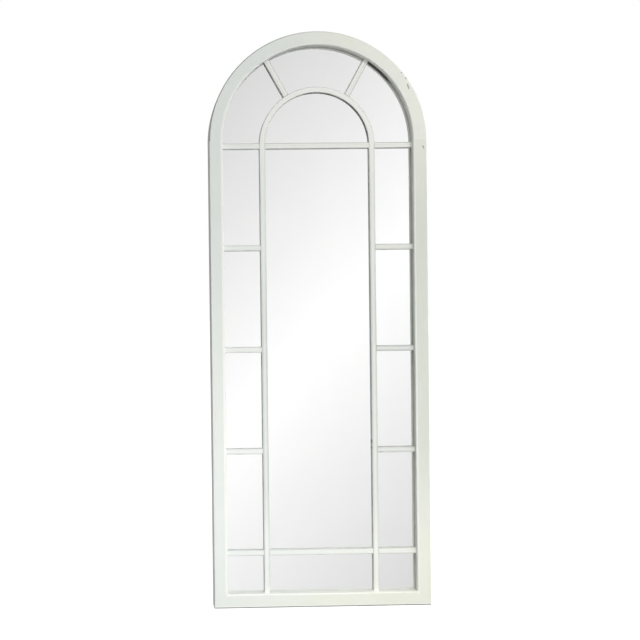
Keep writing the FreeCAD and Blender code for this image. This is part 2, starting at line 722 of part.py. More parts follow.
def backing_board():
    body = new_body("backing_board")
    sketch = sketch_on(body, "board_outline", "XZ_Plane", "-" + GLASS_BACK)
    arched_outline(sketch, REBATE_HALF + " - board_clearance", REBATE_FLOOR + " + board_clearance")
    pad(body, sketch, "board_thickness", backwards=True)
    return body


def setting_blocks():
    """The rubber blocks on the floor of the rebate, under the edge of the glass."""
    body = new_body("setting_block")
    sketch = sketch_on(body, "block_section", "XY_Plane")
    rectangle(sketch, "-block_length / 2", "block_length / 2", "lip_depth", GLASS_BACK)
    pad(body, sketch, "block_height")
    low, half = value(REBATE_FLOOR), value("block_spacing") / 2
    places = [Placement(Vector(side * half, 0, low), Rotation()) for side in (-1, 1)]
    return copies("setting_blocks", body, places)


def clip_body():
    """A stepped clip: foot on the frame's back at y = 0, toe on the board, X into the opening."""
    body = new_body("clip")
    sketch = sketch_on(body, "clip_outline", "XY_Plane")
    step = "(frame_depth - %s)" % BOARD_BACK
    leg = "clip_gap"
    polygon(sketch, [("-clip_foot", "0"), (leg, "0"), (leg, "-" + step),
                     (leg + " + clip_toe", "-" + step),
                     (leg + " + clip_toe", "clip_sheet - " + step),
                     (leg + " + clip_sheet", "clip_sheet - " + step),
                     (leg + " + clip_sheet", "clip_sheet"), ("-clip_foot", "clip_sheet")])
    pad(body, sketch, "clip_width", both_ways=True)
    steel, gap, drop = value("clip_sheet"), value("clip_gap"), value(step)
    outside = [Vector(gap + steel, steel, 0), Vector(gap, -drop, 0)]
    inside = [Vector(gap, 0, 0), Vector(gap + steel, steel - drop, 0)]
    dress(body, "Fillet", edges_centred_on(outside), "Radius", "clip_bend + clip_sheet")
    dress(body, "Fillet", edges_centred_on(inside), "Radius", "clip_bend")
    ends = [(-value("clip_foot"), steel / 2), (gap + value("clip_toe"), steel / 2 - drop)]
    half = value("clip_width") / 2
    corners = [Vector(across, depth, side * half) for across, depth in ends for side in (-1, 1)]
    dress(body, "Fillet", edges_centred_on(corners), "Radius", "clip_width / 4")
    hole = sketch_on(body, "clip_hole", "XZ_Plane")
    circle(hole, "-clip_foot / 2", "0", "screw_shank / 2 + plate_clearance")
    pocket(body, hole, "clip_sheet")
    return body


def clips_and_screws(screw):
    clips = copies("backing_clips", clip_body(), sunk(clip_places(0), "frame_depth"))
    over_foot = clip_places(value("clip_foot") / 2)
    screws = copies("clip_screws", screw, sunk(over_foot, "frame_depth + clip_sheet"))
    return [clips, screws]


# ---------------------------------------------------------------- hangers

def left_hanger_strap():
    """A steel strap on the stile's back, with its top rolled into an eye for the ring."""
    body = new_body("left_hanger_strap")
    sketch = sketch_on(body, "strap_side_view", "YZ_Plane")
    inner = value("eye_clearance + ring_wire / 2")
    outer = inner + value("strap_sheet")
    out, back, low = value(EYE_OUT), value("frame_depth"), -value("strap_length")
    end = math.radians(EYE_END_ANGLE)
    pole = Vector(0, 0, 1)
    centre = Vector(out, 0, 0)
    tip = Vector(math.cos(end), math.sin(end), 0)
    outline = [
        Part.LineSegment(Vector(back, low, 0), Vector(back + outer - inner, low, 0)),
        Part.LineSegment(Vector(back + outer - inner, low, 0), Vector(out - inner, 0, 0)),
        Part.ArcOfCircle(Part.Circle(centre, pole, inner), end, math.pi),
        Part.LineSegment(centre + tip * inner, centre + tip * outer),
        Part.ArcOfCircle(Part.Circle(centre, pole, outer), end, math.pi),
        Part.LineSegment(Vector(back, 0, 0), Vector(back, low, 0)),
    ]
    sketch.addGeometry(outline, False)
    for line, end_point, following, start in [(0, 2, 1, 1), (1, 2, 2, 2), (2, 1, 3, 1),
                                              (3, 2, 4, 1), (4, 2, 5, 1), (5, 2, 0, 1)]:
        sketch.addConstraint(
            Sketcher.Constraint("Coincident", line, end_point, following, start))
    sketch.addConstraint(Sketcher.Constraint("Horizontal", 0))
    sketch.addConstraint(Sketcher.Constraint("Vertical", 1))
    sketch.addConstraint(Sketcher.Constraint("Vertical", 5))
    sketch.addConstraint(Sketcher.Constraint("Coincident", 2, 3, 4, 3))
    sketch.addConstraint(Sketcher.Constraint("Horizontal", 2, 2, 2, 3))
    sketch.addConstraint(Sketcher.Constraint("Horizontal", 4, 2, 4, 3))
    pin_point(sketch, "DistanceX", 2, 3, EYE_OUT)
    pin_point(sketch, "DistanceY", 2, 3, "0")
    for arc, text in ((2, "eye_clearance + ring_wire / 2"),
                      (4, "eye_clearance + ring_wire / 2 + strap_sheet")):
        number = sketch.addConstraint(Sketcher.Constraint("Radius", arc, value(text)))
        sketch.setExpression("Constraints[%d]" % number, tied(text))
    pin_point(sketch, "DistanceY", 0, 1, "-strap_length")
    sketch.addConstraint(Sketcher.Constraint("PointOnObject", 2, 3, 3))
    sketch.addConstraint(Sketcher.Constraint("Angle", 3, end))
    pad(body, sketch, "strap_width", both_ways=True)
    holes = sketch_on(body, "strap_holes", "XZ_Plane", "-frame_depth")
    for drop in ("upper_screw", "lower_screw"):
        circle(holes, "0", "-" + drop, "screw_shank / 2 + plate_clearance")
    pocket(body, holes, "strap_sheet")

    half, depth = value("strap_width") / 2, value("frame_depth + strap_sheet / 2")
    corners = [Vector(side * half, depth, low) for side in (-1, 1)]
    dress(body, "Fillet", edges_centred_on(corners), "Radius", "strap_width / 3")
    place(body, "-" + MEMBER_MIDDLE, "0", HANGER_AXIS)
    return body


def left_hanger_ring():
    """A D of round wire that hangs by its straight side in the strap's eye."""
    wire, half = value("ring_wire") / 2, value("ring_inside + ring_wire") / 2
    corner, side = value("ring_corner"), value("ring_side")
    out = value(EYE_OUT)
    lower = -corner - side

    def spot(across, up):
        return Vector(across, out, up)

    def quarter(centre_across, centre_up, first, middle, last):
        points = []
        for degrees in (first, middle, last):
            turn = math.radians(degrees)
            points.append(spot(centre_across + corner * math.cos(turn),
                               centre_up + corner * math.sin(turn)))
        return Part.Arc(*points).toShape()

    edges = [
        Part.LineSegment(spot(0, 0), spot(half - corner, 0)).toShape(),
        quarter(half - corner, -corner, 90, 45, 0),
        Part.LineSegment(spot(half, -corner), spot(half, lower)).toShape(),
        Part.Arc(spot(half, lower), spot(0, lower - half), spot(-half, lower)).toShape(),
        Part.LineSegment(spot(-half, lower), spot(-half, -corner)).toShape(),
        quarter(corner - half, -corner, 180, 135, 90),
        Part.LineSegment(spot(corner - half, 0), spot(0, 0)).toShape(),
    ]
    path = Part.Wire(edges)
    section = Part.Wire(Part.makeCircle(wire, spot(0, 0), Vector(1, 0, 0)))
    ring = path.makePipeShell([section], True, False)
    expected = path.Length * math.pi * wire ** 2
    if abs(ring.Volume - expected) > expected / 100:
        raise RuntimeError("the ring isn't a sound tube")
    item = document.addObject("Part::Feature", "left_hanger_ring")
    item.Label = "left_hanger_ring"
    item.Shape = ring
    place(item, "-" + MEMBER_MIDDLE, "0", HANGER_AXIS)
    return item


def hangers(screw):
    strap, ring = left_hanger_strap(), left_hanger_ring()
    pieces = [strap, mirrored("right_hanger_strap", strap)]
    pieces += [ring, mirrored("right_hanger_ring", ring)]
    places = sunk(hanger_screw_places(), "frame_depth + strap_sheet")
    return pieces + [copies("hanger_screws", screw, places)]


# ---------------------------------------------------------------- bumpers

def bumper_body():
    """A tapered rubber bumper on the plane y = 0, with a recess for its screw's head."""
    body = new_body("bumper")
    sketch = sketch_on(body, "bumper_outline", "XY_Plane")
    hole, floor = "screw_shank / 2 + plate_clearance", "bumper_height - recess_depth"
    polygon(sketch, [(hole, "0"), ("bumper_base / 2", "0"), ("bumper_face / 2", "bumper_height"),
                     ("bumper_recess / 2", "bumper_height"), ("bumper_recess / 2", floor),
                     (hole, floor)])
    revolve(body, sketch)
    return body


def bumpers_and_screws(screw):
    bumpers = copies("wall_bumpers", bumper_body(), sunk(bumper_places(), "frame_depth"))
    seat = "frame_depth + bumper_height - recess_depth"
    screws = copies("bumper_screws", screw, sunk(bumper_places(), seat))
    return [bumpers, screws]


# ---------------------------------------------------------------- the assembly

screw = screw_body()
pieces = frame_members() + lattice() + [mirror_glass(), backing_board(), setting_blocks()]
pieces += clips_and_screws(screw) + hangers(screw) + bumpers_and_screws(screw)
document.recompute()

for item in document.Objects:
    if "Invalid" in item.State or "Error" in item.State:
        raise RuntimeError("%s failed: %s" % (item.Label, item.State))

os.makedirs("parts", exist_ok=True)
to_middle = Vector(0, value(FACE_TO_MIDDLE), 0)
for piece in pieces:
    shape = piece.Shape
    if shape.isNull() or not shape.isValid():
        raise RuntimeError("%s has no sound shape" % piece.Label)
    centred = shape.copy()
    centred.translate(to_middle)
    centred.exportStep("parts/%s.step" % piece.Label)
    print(piece.Label, len(shape.Solids), round(shape.Volume))
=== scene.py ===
import math

import bmesh
import bpy
from mathutils import Matrix, Vector


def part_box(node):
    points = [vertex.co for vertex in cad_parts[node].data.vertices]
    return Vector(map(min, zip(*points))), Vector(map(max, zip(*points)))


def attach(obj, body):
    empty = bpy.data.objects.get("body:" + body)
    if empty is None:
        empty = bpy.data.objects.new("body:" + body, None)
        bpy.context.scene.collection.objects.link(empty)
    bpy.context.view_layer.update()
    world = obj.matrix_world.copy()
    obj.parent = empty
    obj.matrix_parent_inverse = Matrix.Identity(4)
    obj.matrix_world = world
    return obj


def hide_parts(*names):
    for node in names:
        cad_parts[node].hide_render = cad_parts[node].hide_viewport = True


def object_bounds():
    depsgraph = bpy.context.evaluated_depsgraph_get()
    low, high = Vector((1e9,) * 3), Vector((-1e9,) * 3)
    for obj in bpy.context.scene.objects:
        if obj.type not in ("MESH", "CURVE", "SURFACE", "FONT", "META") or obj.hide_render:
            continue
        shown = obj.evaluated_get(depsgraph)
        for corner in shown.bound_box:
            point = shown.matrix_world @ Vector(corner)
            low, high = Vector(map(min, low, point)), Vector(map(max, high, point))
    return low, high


# The looks of the arched window mirror: off-white brushed paint on the frame and the bars, one
# silvered pane, and bare wood, hardboard, zinc and rubber behind. All lengths are in metres.

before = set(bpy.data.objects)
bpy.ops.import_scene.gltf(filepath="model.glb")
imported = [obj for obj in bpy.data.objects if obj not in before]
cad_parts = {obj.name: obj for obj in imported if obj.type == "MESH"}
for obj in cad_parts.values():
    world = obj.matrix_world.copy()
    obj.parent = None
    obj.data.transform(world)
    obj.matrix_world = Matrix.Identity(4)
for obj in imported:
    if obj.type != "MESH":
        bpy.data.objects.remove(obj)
cad_low, cad_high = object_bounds()

# ---------------------------------------------------------------- places read from the frame

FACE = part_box("left_stile")[0].y
FRAME_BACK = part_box("left_stile")[1].y
GLASS_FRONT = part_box("mirror_glass")[0].y
BAR_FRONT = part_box("left_upright")[0].y
HALF_WIDTH = cad_high.x
FRAME_FACE = HALF_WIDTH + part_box("left_stile")[1].x
HALF_OPENING = HALF_WIDTH - FRAME_FACE
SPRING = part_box("left_stile")[1].z
BAR_HALF = (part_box("left_upright")[1].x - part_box("left_upright")[0].x) / 2
INNER_ARCH_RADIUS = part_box("inner_arch_bar")[1].x - BAR_HALF
INNER_ARCH_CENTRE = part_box("inner_arch_bar")[1].z - INNER_ARCH_RADIUS - BAR_HALF
SPOKE_ANGLE = math.radians(29)

# ---------------------------------------------------------------- the camera, as photographed

CAMERA_PLACE = Vector((-0.5876, -1.972, 0.8602))
CAMERA_YAW, CAMERA_PITCH, CAMERA_ROLL = 0.692, -0.277, -0.727    # degrees
CAMERA_SHIFT = 0.30
FOCAL_PIXELS = 666.98
PHOTO_PIXELS = 640
SENSOR_WIDTH = 36                                                # millimetres
CLIP_NEAR, CLIP_FAR = 0.05, 100


def make_camera():
    data = bpy.data.cameras.new("camera")
    data.sensor_width = SENSOR_WIDTH
    data.lens = FOCAL_PIXELS / PHOTO_PIXELS * SENSOR_WIDTH
    data.shift_x = CAMERA_SHIFT
    data.clip_start, data.clip_end = CLIP_NEAR, CLIP_FAR
    camera = bpy.data.objects.new("camera", data)
    yaw = Matrix.Rotation(math.radians(-CAMERA_YAW), 4, "Z")
    pitch = Matrix.Rotation(math.radians(90 + CAMERA_PITCH), 4, "X")
    roll = Matrix.Rotation(math.radians(CAMERA_ROLL), 4, "Z")
    camera.matrix_world = Matrix.Translation(CAMERA_PLACE) @ yaw @ pitch @ roll
    bpy.context.scene.collection.objects.link(camera)
    bpy.context.scene.camera = camera


# ---------------------------------------------------------------- node trees

MIX_SHARE, MIX_FIRST, MIX_SECOND, MIX_RESULT = 0, 6, 7, 2    # a Mix node's sockets for colours


class Tree:
    """A node tree with one short method for each kind of step. A value may be a number, a
    colour or the output of an earlier step."""

    def __init__(self, owner):
        owner.use_nodes = True
        self.owner = owner
        self.nodes = owner.node_tree.nodes
        self.links = owner.node_tree.links
        self.nodes.clear()

    def add(self, kind, inputs, **settings):
        node = self.nodes.new("ShaderNode" + kind)
        for name, setting in settings.items():
            setattr(node, name, setting)
        for name, value in inputs.items():
            if isinstance(value, bpy.types.NodeSocket):
                self.links.new(value, node.inputs[name])
            else:
                node.inputs[name].default_value = value
        return node

    def math(self, operation, first, second=0.0, third=0.0, clamp=False):
        values = {0: first, 1: second, 2: third}
        return self.add("Math", values, operation=operation, use_clamp=clamp).outputs[0]

    def linear(self, value, slope, base, clamp=False):
        """The base and the value times the slope."""
        return self.math("MULTIPLY_ADD", value, slope, base, clamp)

    def product(self, first, *others):
        for other in others:
            first = self.math("MULTIPLY", first, other)
        return first

    def largest(self, first, *others):
        for other in others:
            first = self.math("MAXIMUM", first, other)
        return first

    def position(self):
        return self.add("TexCoord", {}).outputs["Object"]

    def split(self, vector):
        return self.add("SeparateXYZ", {"Vector": vector}).outputs

    def join(self, x, y, z):
        return self.add("CombineXYZ", {"X": x, "Y": y, "Z": z}).outputs[0]

    def noise(self, vector, scale, detail, roughness):
        inputs = {"Vector": vector, "Scale": scale, "Detail": detail, "Roughness": roughness}
        return self.add("TexNoise", inputs).outputs[0]

    def band(self, value, start, end, low=0.0, high=1.0):
        """Runs smoothly from low to high as the value goes from start to end."""
        inputs = {"Value": value, "From Min": start, "From Max": end, "To Min": low,
                  "To Max": high}
        node = self.add("MapRange", inputs, interpolation_type="SMOOTHSTEP")
        return node.outputs[0]

    def mix(self, share, first, second):
        node = self.add("Mix", {}, data_type="RGBA")
        for number, value in ((MIX_SHARE, share), (MIX_FIRST, first), (MIX_SECOND, second)):
            if isinstance(value, bpy.types.NodeSocket):
                self.links.new(value, node.inputs[number])
            elif number == MIX_SHARE:
                node.inputs[number].default_value = value
            else:
                node.inputs[number].default_value = (*value, 1)
        return node.outputs[MIX_RESULT]

    def bump(self, height, distance):
        inputs = {"Height": height, "Distance": distance, "Strength": 1.0}
        return self.add("Bump", inputs).outputs[0]

    def surface(self, colour, roughness, normal=None, metallic=0.0):
        inputs = {"Base Color": colour, "Roughness": roughness, "Metallic": metallic}
        if normal is not None:
            inputs["Normal"] = normal
        shader = self.add("BsdfPrincipled", inputs)
        self.add("OutputMaterial", {"Surface": shader.outputs[0]})
        return self.owner


def new_tree(name):
    return Tree(bpy.data.materials.new(name))


# ---------------------------------------------------------------- which way a member runs

def upright_run(tree, place):
    """Along and across a member that stands upright."""
    return place["Z"], place["X"]


def level_run(tree, place):
    """Along and across a member that lies level."""
    return place["X"], place["Z"]


def round_run(centre, radius):
    """Along and across a member that goes round the centre of an arch."""
    def run(tree, place):
        up = tree.math("SUBTRACT", place["Z"], centre)
        turn = tree.math("ARCTAN2", up, place["X"])
        squares = tree.linear(up, up, tree.math("POWER", place["X"], 2.0))
        return tree.product(turn, radius), tree.math("SQRT", squares)
    return run


def slanted_run(side):
    """Along and across the spoke on that side."""
    def run(tree, place):
        lean_x = tree.product(place["X"], side * math.sin(SPOKE_ANGLE))
        lean_z = tree.product(place["X"], side * math.cos(SPOKE_ANGLE))
        along = tree.linear(place["Z"], math.cos(SPOKE_ANGLE), lean_x)
        across = tree.linear(place["Z"], -math.sin(SPOKE_ANGLE), lean_z)
        return along, across
    return run


# ---------------------------------------------------------------- paint and wood

PAINT_COOL = (0.740, 0.785, 0.765)
PAINT_WARM = (0.765, 0.775, 0.690)
# A paler paint: for pale brush strokes, and as painted highlight on the frame's edges, along the
# bars' middles and on the bars from below the spring line up.
PAINT_LIGHTER_AND_HIGHLIGHT = (0.86, 0.87, 0.84)
PAINT_PALE = (0.87, 0.87, 0.80)
# Painted shade over the frame's right middle part.
PAINT_SHADED = (0.60, 0.625, 0.565)
# Painted shade over the bars at middle height.
PAINT_BAR_SHADED = (0.560, 0.585, 0.575)
PAINT_NEUTRAL = (0.765, 0.780, 0.775)
# Painted shade: grey in the corners against the glass, round the outer edge of the arch, on the
# left outer side, and along the bars' edges and lines.
PAINT_SHADE = (0.20, 0.21, 0.18)
# Near-black painted shade at the bars' foot against the glass, and a painted contact shadow along
# the frame's foot.
FOOT_SHADE = (0.050, 0.052, 0.045)
PRIMER = (0.37, 0.36, 0.325)
# Black painted shade at the foot of the wall in the upper right of the arch.
SHADE_BLACK = (0.010, 0.010, 0.009)
WOOD_LIGHT = (0.62, 0.47, 0.31)
WOOD_DARK = (0.47, 0.32, 0.19)

STROKE_STRETCH = 45                 # a brush stroke is this many times longer than wide
PAINT_RELIEF = 0.00003
PAINT_ROUGHNESS = (0.16, 0.36)      # slope and base, over the blots
CHIP_HEIGHT = -5.0                  # in units of the relief

# Noises: their scale per metre, their detail and their roughness.
BROAD = (2.6, 3, 0.55)
BLOTS = (24, 3, 0.6)
BRISTLES = (900, 3, 0.55)
ORANGE_PEEL = (420, 2, 0.5)
FRAME_RAGGED = (150, 4, 0.7)
BAR_RAGGED = (170, 4, 0.7)
PATCHES = (14, 2, 0.5)
WOOD_RINGS = (260, 4, 0.65)
WOOD_FIBRES = (1500, 2, 0.6)
PAINT_EDGE = (180, 3, 0.6)

FIBRE_SHARE = 0.35
WOOD_FIGURE = (0.45, 0.85)


def strokes(tree, place, along, across):
    """Coordinates in which a round blot comes out as a long stroke along the member."""
    return tree.join(across, place["Y"], tree.math("DIVIDE", along, STROKE_STRETCH))


def wood_colour(tree, stroke):
    rings = tree.noise(stroke, *WOOD_RINGS)
    fibres = tree.noise(stroke, *WOOD_FIBRES)
    figure = tree.band(tree.linear(fibres, FIBRE_SHARE, rings), *WOOD_FIGURE)
    return tree.mix(figure, WOOD_LIGHT, WOOD_DARK), fibres


# A pair below is where a tone begins and where it is full, and a four adds its least and its
# greatest share. X, Z and depth, which is Y, say along what it changes. The others go by the
# reach from the opening, the distance from a bar's middle line, or the level of a noise.
YELLOWED = (0.30, 0.75)
YELLOWED_TO_RIGHT, YELLOWED_BELOW = 0.55, 0.15
YELLOWED_BELOW_Z = (0.25, 0.0)
# Where the painted shade over the right middle part of the frame lies.
SHADED_ABOVE_Z, SHADED_BELOW_Z = (0.12, 0.50), (1.50, 1.05)
SHADED_X = (-0.10, 0.25, 0.22, 1.12)
SHADED_BLOTS = (0.2, 0.8, 0.6, 0.9)
PALE_STROKES = (0.40, 0.62, 0.0, 0.22)
PEEL_HEIGHT = 0.35


def paint_layers(tree, point, stroke):
    """Brushed paint: its colour, with painted shade over the right middle part, its height for
    the bump, and its broad unevenness.
    """
    place = tree.split(point)
    broad = tree.noise(point, *BROAD)
    blots = tree.noise(point, *BLOTS)
    fine = tree.noise(stroke, *BRISTLES)
    yellowed = tree.linear(place["X"], YELLOWED_TO_RIGHT, broad)
    yellowed = tree.linear(tree.band(place["Z"], *YELLOWED_BELOW_Z), YELLOWED_BELOW, yellowed)
    colour = tree.mix(tree.band(yellowed, *YELLOWED), PAINT_COOL, PAINT_WARM)
    # Painted shade over the right middle part of the frame.
    shaded_patch = tree.product(tree.band(place["Z"], *SHADED_ABOVE_Z),
                           tree.band(place["Z"], *SHADED_BELOW_Z),
                           tree.band(place["X"], *SHADED_X), tree.band(blots, *SHADED_BLOTS))
    colour = tree.mix(shaded_patch, colour, PAINT_SHADED)
    pale = tree.band(tree.linear(fine, 0.5, tree.product(blots, 0.5)), *PALE_STROKES)
    colour = tree.mix(pale, colour, PAINT_LIGHTER_AND_HIGHLIGHT)
    height = tree.linear(tree.noise(point, *ORANGE_PEEL), PEEL_HEIGHT, fine)
    return colour, height, blots


CHIP_OUTLINE = (1.75, 1.55)     # in squared half sizes of the chip, with the raggedness added
CHIP_RAGGED = 1.6
FRAME_WORN = (0.685, 0.70)
BAR_WORN = (0.69, 0.70)


def chips(tree, place, ragged, spots):
    """Where the paint is knocked off: at each named spot, with a ragged outline."""
    masks = []
    for x, z, wide, tall, turn in spots:
        across = tree.math("SUBTRACT", place["X"], x)
        up = tree.math("SUBTRACT", place["Z"], z)
        cosine, sine = math.cos(math.radians(turn)), math.sin(math.radians(turn))
        along = tree.linear(across, cosine, tree.product(up, sine))
        side = tree.linear(up, cosine, tree.product(across, -sine))
        squares = [tree.math("POWER", tree.math("ABSOLUTE", tree.math("DIVIDE", way, half)), 2.0)
                   for way, half in ((along, wide), (side, tall))]
        far = tree.linear(ragged, CHIP_RAGGED, tree.math("ADD", *squares))
        masks.append(tree.band(far, *CHIP_OUTLINE))
    return tree.largest(*masks)


def chipped(tree, place, ragged, worn, spots, colour):
    """The paint with primer showing where it is worn or knocked off, and the share of that."""
    if spots:
        worn = tree.largest(worn, chips(tree, place, ragged, spots))
    return tree.mix(worn, colour, PRIMER), worn


# ---------------------------------------------------------------- the frame's paint

# Painted highlights: on the inner edge, wider on the left and along the rail, in patches on the
# outer edge, and in a line just above the foot.
RAIL_ARRIS = (0.0045, 0.0030)
NARROW_ARRIS = (0.0056, 0.0034)
NARROW_ARRIS_Z = (FRAME_FACE - 0.006, FRAME_FACE - 0.004)
WIDE_ARRIS = (0.0088, 0.0066)
WIDE_ARRIS_X = (-0.17, -0.24)
WIDE_ARRIS_Z = (FRAME_FACE, FRAME_FACE + 0.004)
ARRIS_DEPTH = (FACE + 0.006, FACE + 0.002)
OUTER_ARRIS = (FRAME_FACE - 0.0034, FRAME_FACE - 0.0010)
HIGHLIGHT_PATCHES = (0.35, 0.60)
FOOT_HIGHLIGHT_ABOVE_Z, FOOT_HIGHLIGHT_BELOW_Z = (0.0028, 0.0034), (0.0068, 0.0056)
HIGHLIGHT_SHARE, RAIL_HIGHLIGHT_SHARE = 0.85, 0.45
WORN_THIN_BLOTS = (0.30, 0.60, 0.6, 1.0)
WORN_THIN_X = (-0.16, 0.14, 0.05, 0.42)

# Painted shade in the corner against the glass, most of it on the right.
SHADE_REACH = (0.002, 0.0005)
SHADE_DEPTH = (GLASS_FRONT - 0.006, GLASS_FRONT)
SHADE_BLOTS = (0.2, 0.7)
SHADE_X = (-0.12, 0.16, 0.1, 1.0)
SHADE_LEAST = 0.5                    # as a share of the most
# Painted shade along the outer edge of the arch, most of it on the left.
RIM = (FRAME_FACE - 0.0040, FRAME_FACE - 0.0018)
RIM_X = (0.24, -0.18, 0.0, 0.75)
RIM_DEPTH = (FACE + 0.0034, FACE + 0.0022)
# Painted shade on the left outer side.
SIDE = (FRAME_FACE - 0.0014, FRAME_FACE - 0.0006)
SIDE_X = (0.1, -0.1, 0.0, 0.28)
# A painted contact shadow along the foot.
BASE_SHADOW_Z = (0.0034, 0.0026)
BASE_SHADOW_BLOTS = (0.30, 0.60, 0.80, 1.0)

# A black band of painted shade at the foot of the wall in the upper right of the arch.
BLACK_SHADE_BEGINS, BLACK_SHADE_ENDS = (34, 43), (57.6, 57.0)    # degrees round the arch, from the right
BLACK_SHADE_DEPTH = (GLASS_FRONT - 0.0085, GLASS_FRONT - 0.0060)

BARE_WANDER = 0.003                 # how far the paint's edge behind strays
BARE_DEPTH = (FRAME_BACK - 0.0004, FRAME_BACK + 0.0004)
REBATE = (0.0125, 0.0115)
REBATE_DEPTH = (GLASS_FRONT + 0.0002, GLASS_FRONT + 0.0006)
BARE_ROUGHER, BARE_HEIGHT = 0.30, 6.0


def from_opening(tree, place, kind, across):
    """How far a point on the frame lies from the edge of the opening, called its reach."""
    if kind == "rail":
        return tree.math("SUBTRACT", FRAME_FACE, place["Z"])
    if kind == "stile":
        across = tree.math("ABSOLUTE", across)
    return tree.math("SUBTRACT", across, HALF_OPENING)


def inside_arris(tree, place, kind, reach):
    """The edge beside the opening, where a painted highlight lies, wider on the left."""
    if kind == "rail":
        return tree.band(reach, *RAIL_ARRIS)
    near_face = tree.band(place["Y"], *ARRIS_DEPTH)
    narrow = tree.product(tree.band(reach, *NARROW_ARRIS), near_face,
                          tree.band(place["Z"], *NARROW_ARRIS_Z))
    wide = tree.product(tree.band(reach, *WIDE_ARRIS), tree.band(place["X"], *WIDE_ARRIS_X),
                        near_face, tree.band(place["Z"], *WIDE_ARRIS_Z))
    return tree.largest(narrow, wide)


def frame_shade(tree, place, kind, reach, blots, corner_shade):
    """Painted shade in the corner against the glass, along the outer edge round the arch, and on
    the left outer side.
    """
    corner_amount = tree.product(tree.band(blots, *SHADE_BLOTS, SHADE_LEAST * corner_shade, corner_shade),
                         tree.band(place["X"], *SHADE_X))
    shade = tree.product(tree.band(place["Y"], *SHADE_DEPTH), tree.band(reach, *SHADE_REACH), corner_amount)
    if kind == "arch":
        rim = tree.product(tree.band(reach, *RIM), tree.band(place["X"], *RIM_X),
                           tree.band(place["Y"], *RIM_DEPTH))
        shade = tree.largest(shade, rim)
    if kind != "rail":
        side = tree.product(tree.band(reach, *SIDE), tree.band(place["X"], *SIDE_X))
        shade = tree.largest(shade, side)
    return shade


def arch_black_shade(tree, place, along, reach):
    """A black band of painted shade at the foot of the wall against the glass, in the upper right
    part of the arch.
    """
    begins, ends = ([math.radians(turn) * (HALF_WIDTH - FRAME_FACE / 2) for turn in pair]
                    for pair in (BLACK_SHADE_BEGINS, BLACK_SHADE_ENDS))
    return tree.product(tree.band(along, *begins), tree.band(along, *ends),
                        tree.band(reach, *SHADE_REACH), tree.band(place["Y"], *BLACK_SHADE_DEPTH))


def frame_paint(name, kind, run, corner_shade, spots):
    """The finish of a member of the frame: paint in front and outside, bare wood behind. The
    amount of corner shade is how much painted shade lies in the corner against the glass, most of
    it on the right."""
    tree = new_tree(name)
    point = tree.position()
    place = tree.split(point)
    along, across = run(tree, place)
    stroke = strokes(tree, place, along, across)
    reach = from_opening(tree, place, kind, across)
    colour, height, blots = paint_layers(tree, point, stroke)

    # Painted highlights on the inner edge, in patches on the outer edge and just above the foot;
    # the wear below also follows the two edges.
    inner_arris = inside_arris(tree, place, kind, reach)
    outer_arris = tree.band(reach, *OUTER_ARRIS)
    patchy = tree.band(tree.noise(point, *PATCHES), *HIGHLIGHT_PATCHES)
    foot_highlight = tree.product(tree.band(place["Z"], *FOOT_HIGHLIGHT_ABOVE_Z),
                             tree.band(place["Z"], *FOOT_HIGHLIGHT_BELOW_Z))
    edge_highlight = tree.largest(inner_arris, tree.product(outer_arris, patchy), foot_highlight)
    if kind == "arch":
        worn_thin = tree.product(tree.band(blots, *WORN_THIN_BLOTS),
                                 tree.band(place["X"], *WORN_THIN_X))
        colour = tree.mix(worn_thin, colour, PAINT_PALE)
    share = RAIL_HIGHLIGHT_SHARE if kind == "rail" else HIGHLIGHT_SHARE
    colour = tree.mix(tree.product(edge_highlight, share), colour, PAINT_LIGHTER_AND_HIGHLIGHT)

    # Painted shade in the corner against the glass, round the arch's outer edge and on the left
    # side.
    colour = tree.mix(frame_shade(tree, place, kind, reach, blots, corner_shade), colour, PAINT_SHADE)
    # A painted contact shadow along the foot.
    base_shadow = tree.product(tree.band(place["Z"], *BASE_SHADOW_Z), tree.band(blots, *BASE_SHADOW_BLOTS))
    colour = tree.mix(base_shadow, colour, FOOT_SHADE)
    if kind == "arch":
        # A black band of painted shade at the wall's foot in the upper right of the arch.
        colour = tree.mix(arch_black_shade(tree, place, along, reach), colour, SHADE_BLACK)
    ragged = tree.noise(point, *FRAME_RAGGED)
    worn = tree.product(tree.band(ragged, *FRAME_WORN), tree.largest(outer_arris, inner_arris))
    colour, worn = chipped(tree, place, ragged, worn, spots, colour)

    wood, fibres = wood_colour(tree, stroke)
    edge = tree.linear(tree.noise(point, *PAINT_EDGE), BARE_WANDER, place["Y"])
    rebate = tree.product(tree.band(reach, *REBATE), tree.band(place["Y"], *REBATE_DEPTH))
    bare = tree.largest(tree.band(edge, *BARE_DEPTH), rebate)
    colour = tree.mix(bare, colour, wood)
    roughness = tree.linear(bare, BARE_ROUGHER, tree.linear(blots, *PAINT_ROUGHNESS), clamp=True)
    height = tree.linear(tree.product(fibres, bare), BARE_HEIGHT, height)
    height = tree.linear(worn, CHIP_HEIGHT, height)
    return tree.surface(colour, roughness, tree.bump(height, PAINT_RELIEF))


# ---------------------------------------------------------------- the bars' paint

NEUTRAL_SHARE = 0.35
# Painted shade over the bars at middle height, set for the left and right.
BAR_SHADE_ABOVE_Z, BAR_SHADE_BELOW_Z = (0.15, 0.36), (1.10, 0.82)
BAR_SHADE_X = (-0.1, 0.1)
# Painted light: the bars are paler from just below the spring line up.
UPPER_LIGHT_Z = (SPRING - 0.15, SPRING + 0.08, 0.0, 0.85)
BAR_DEPTH = (BAR_FRONT + 0.003, BAR_FRONT + 0.001)
# A painted highlight along the middle of a bar's face.
RIDGE = (0.0036, 0.0020)
RIDGE_SHARE = 0.42
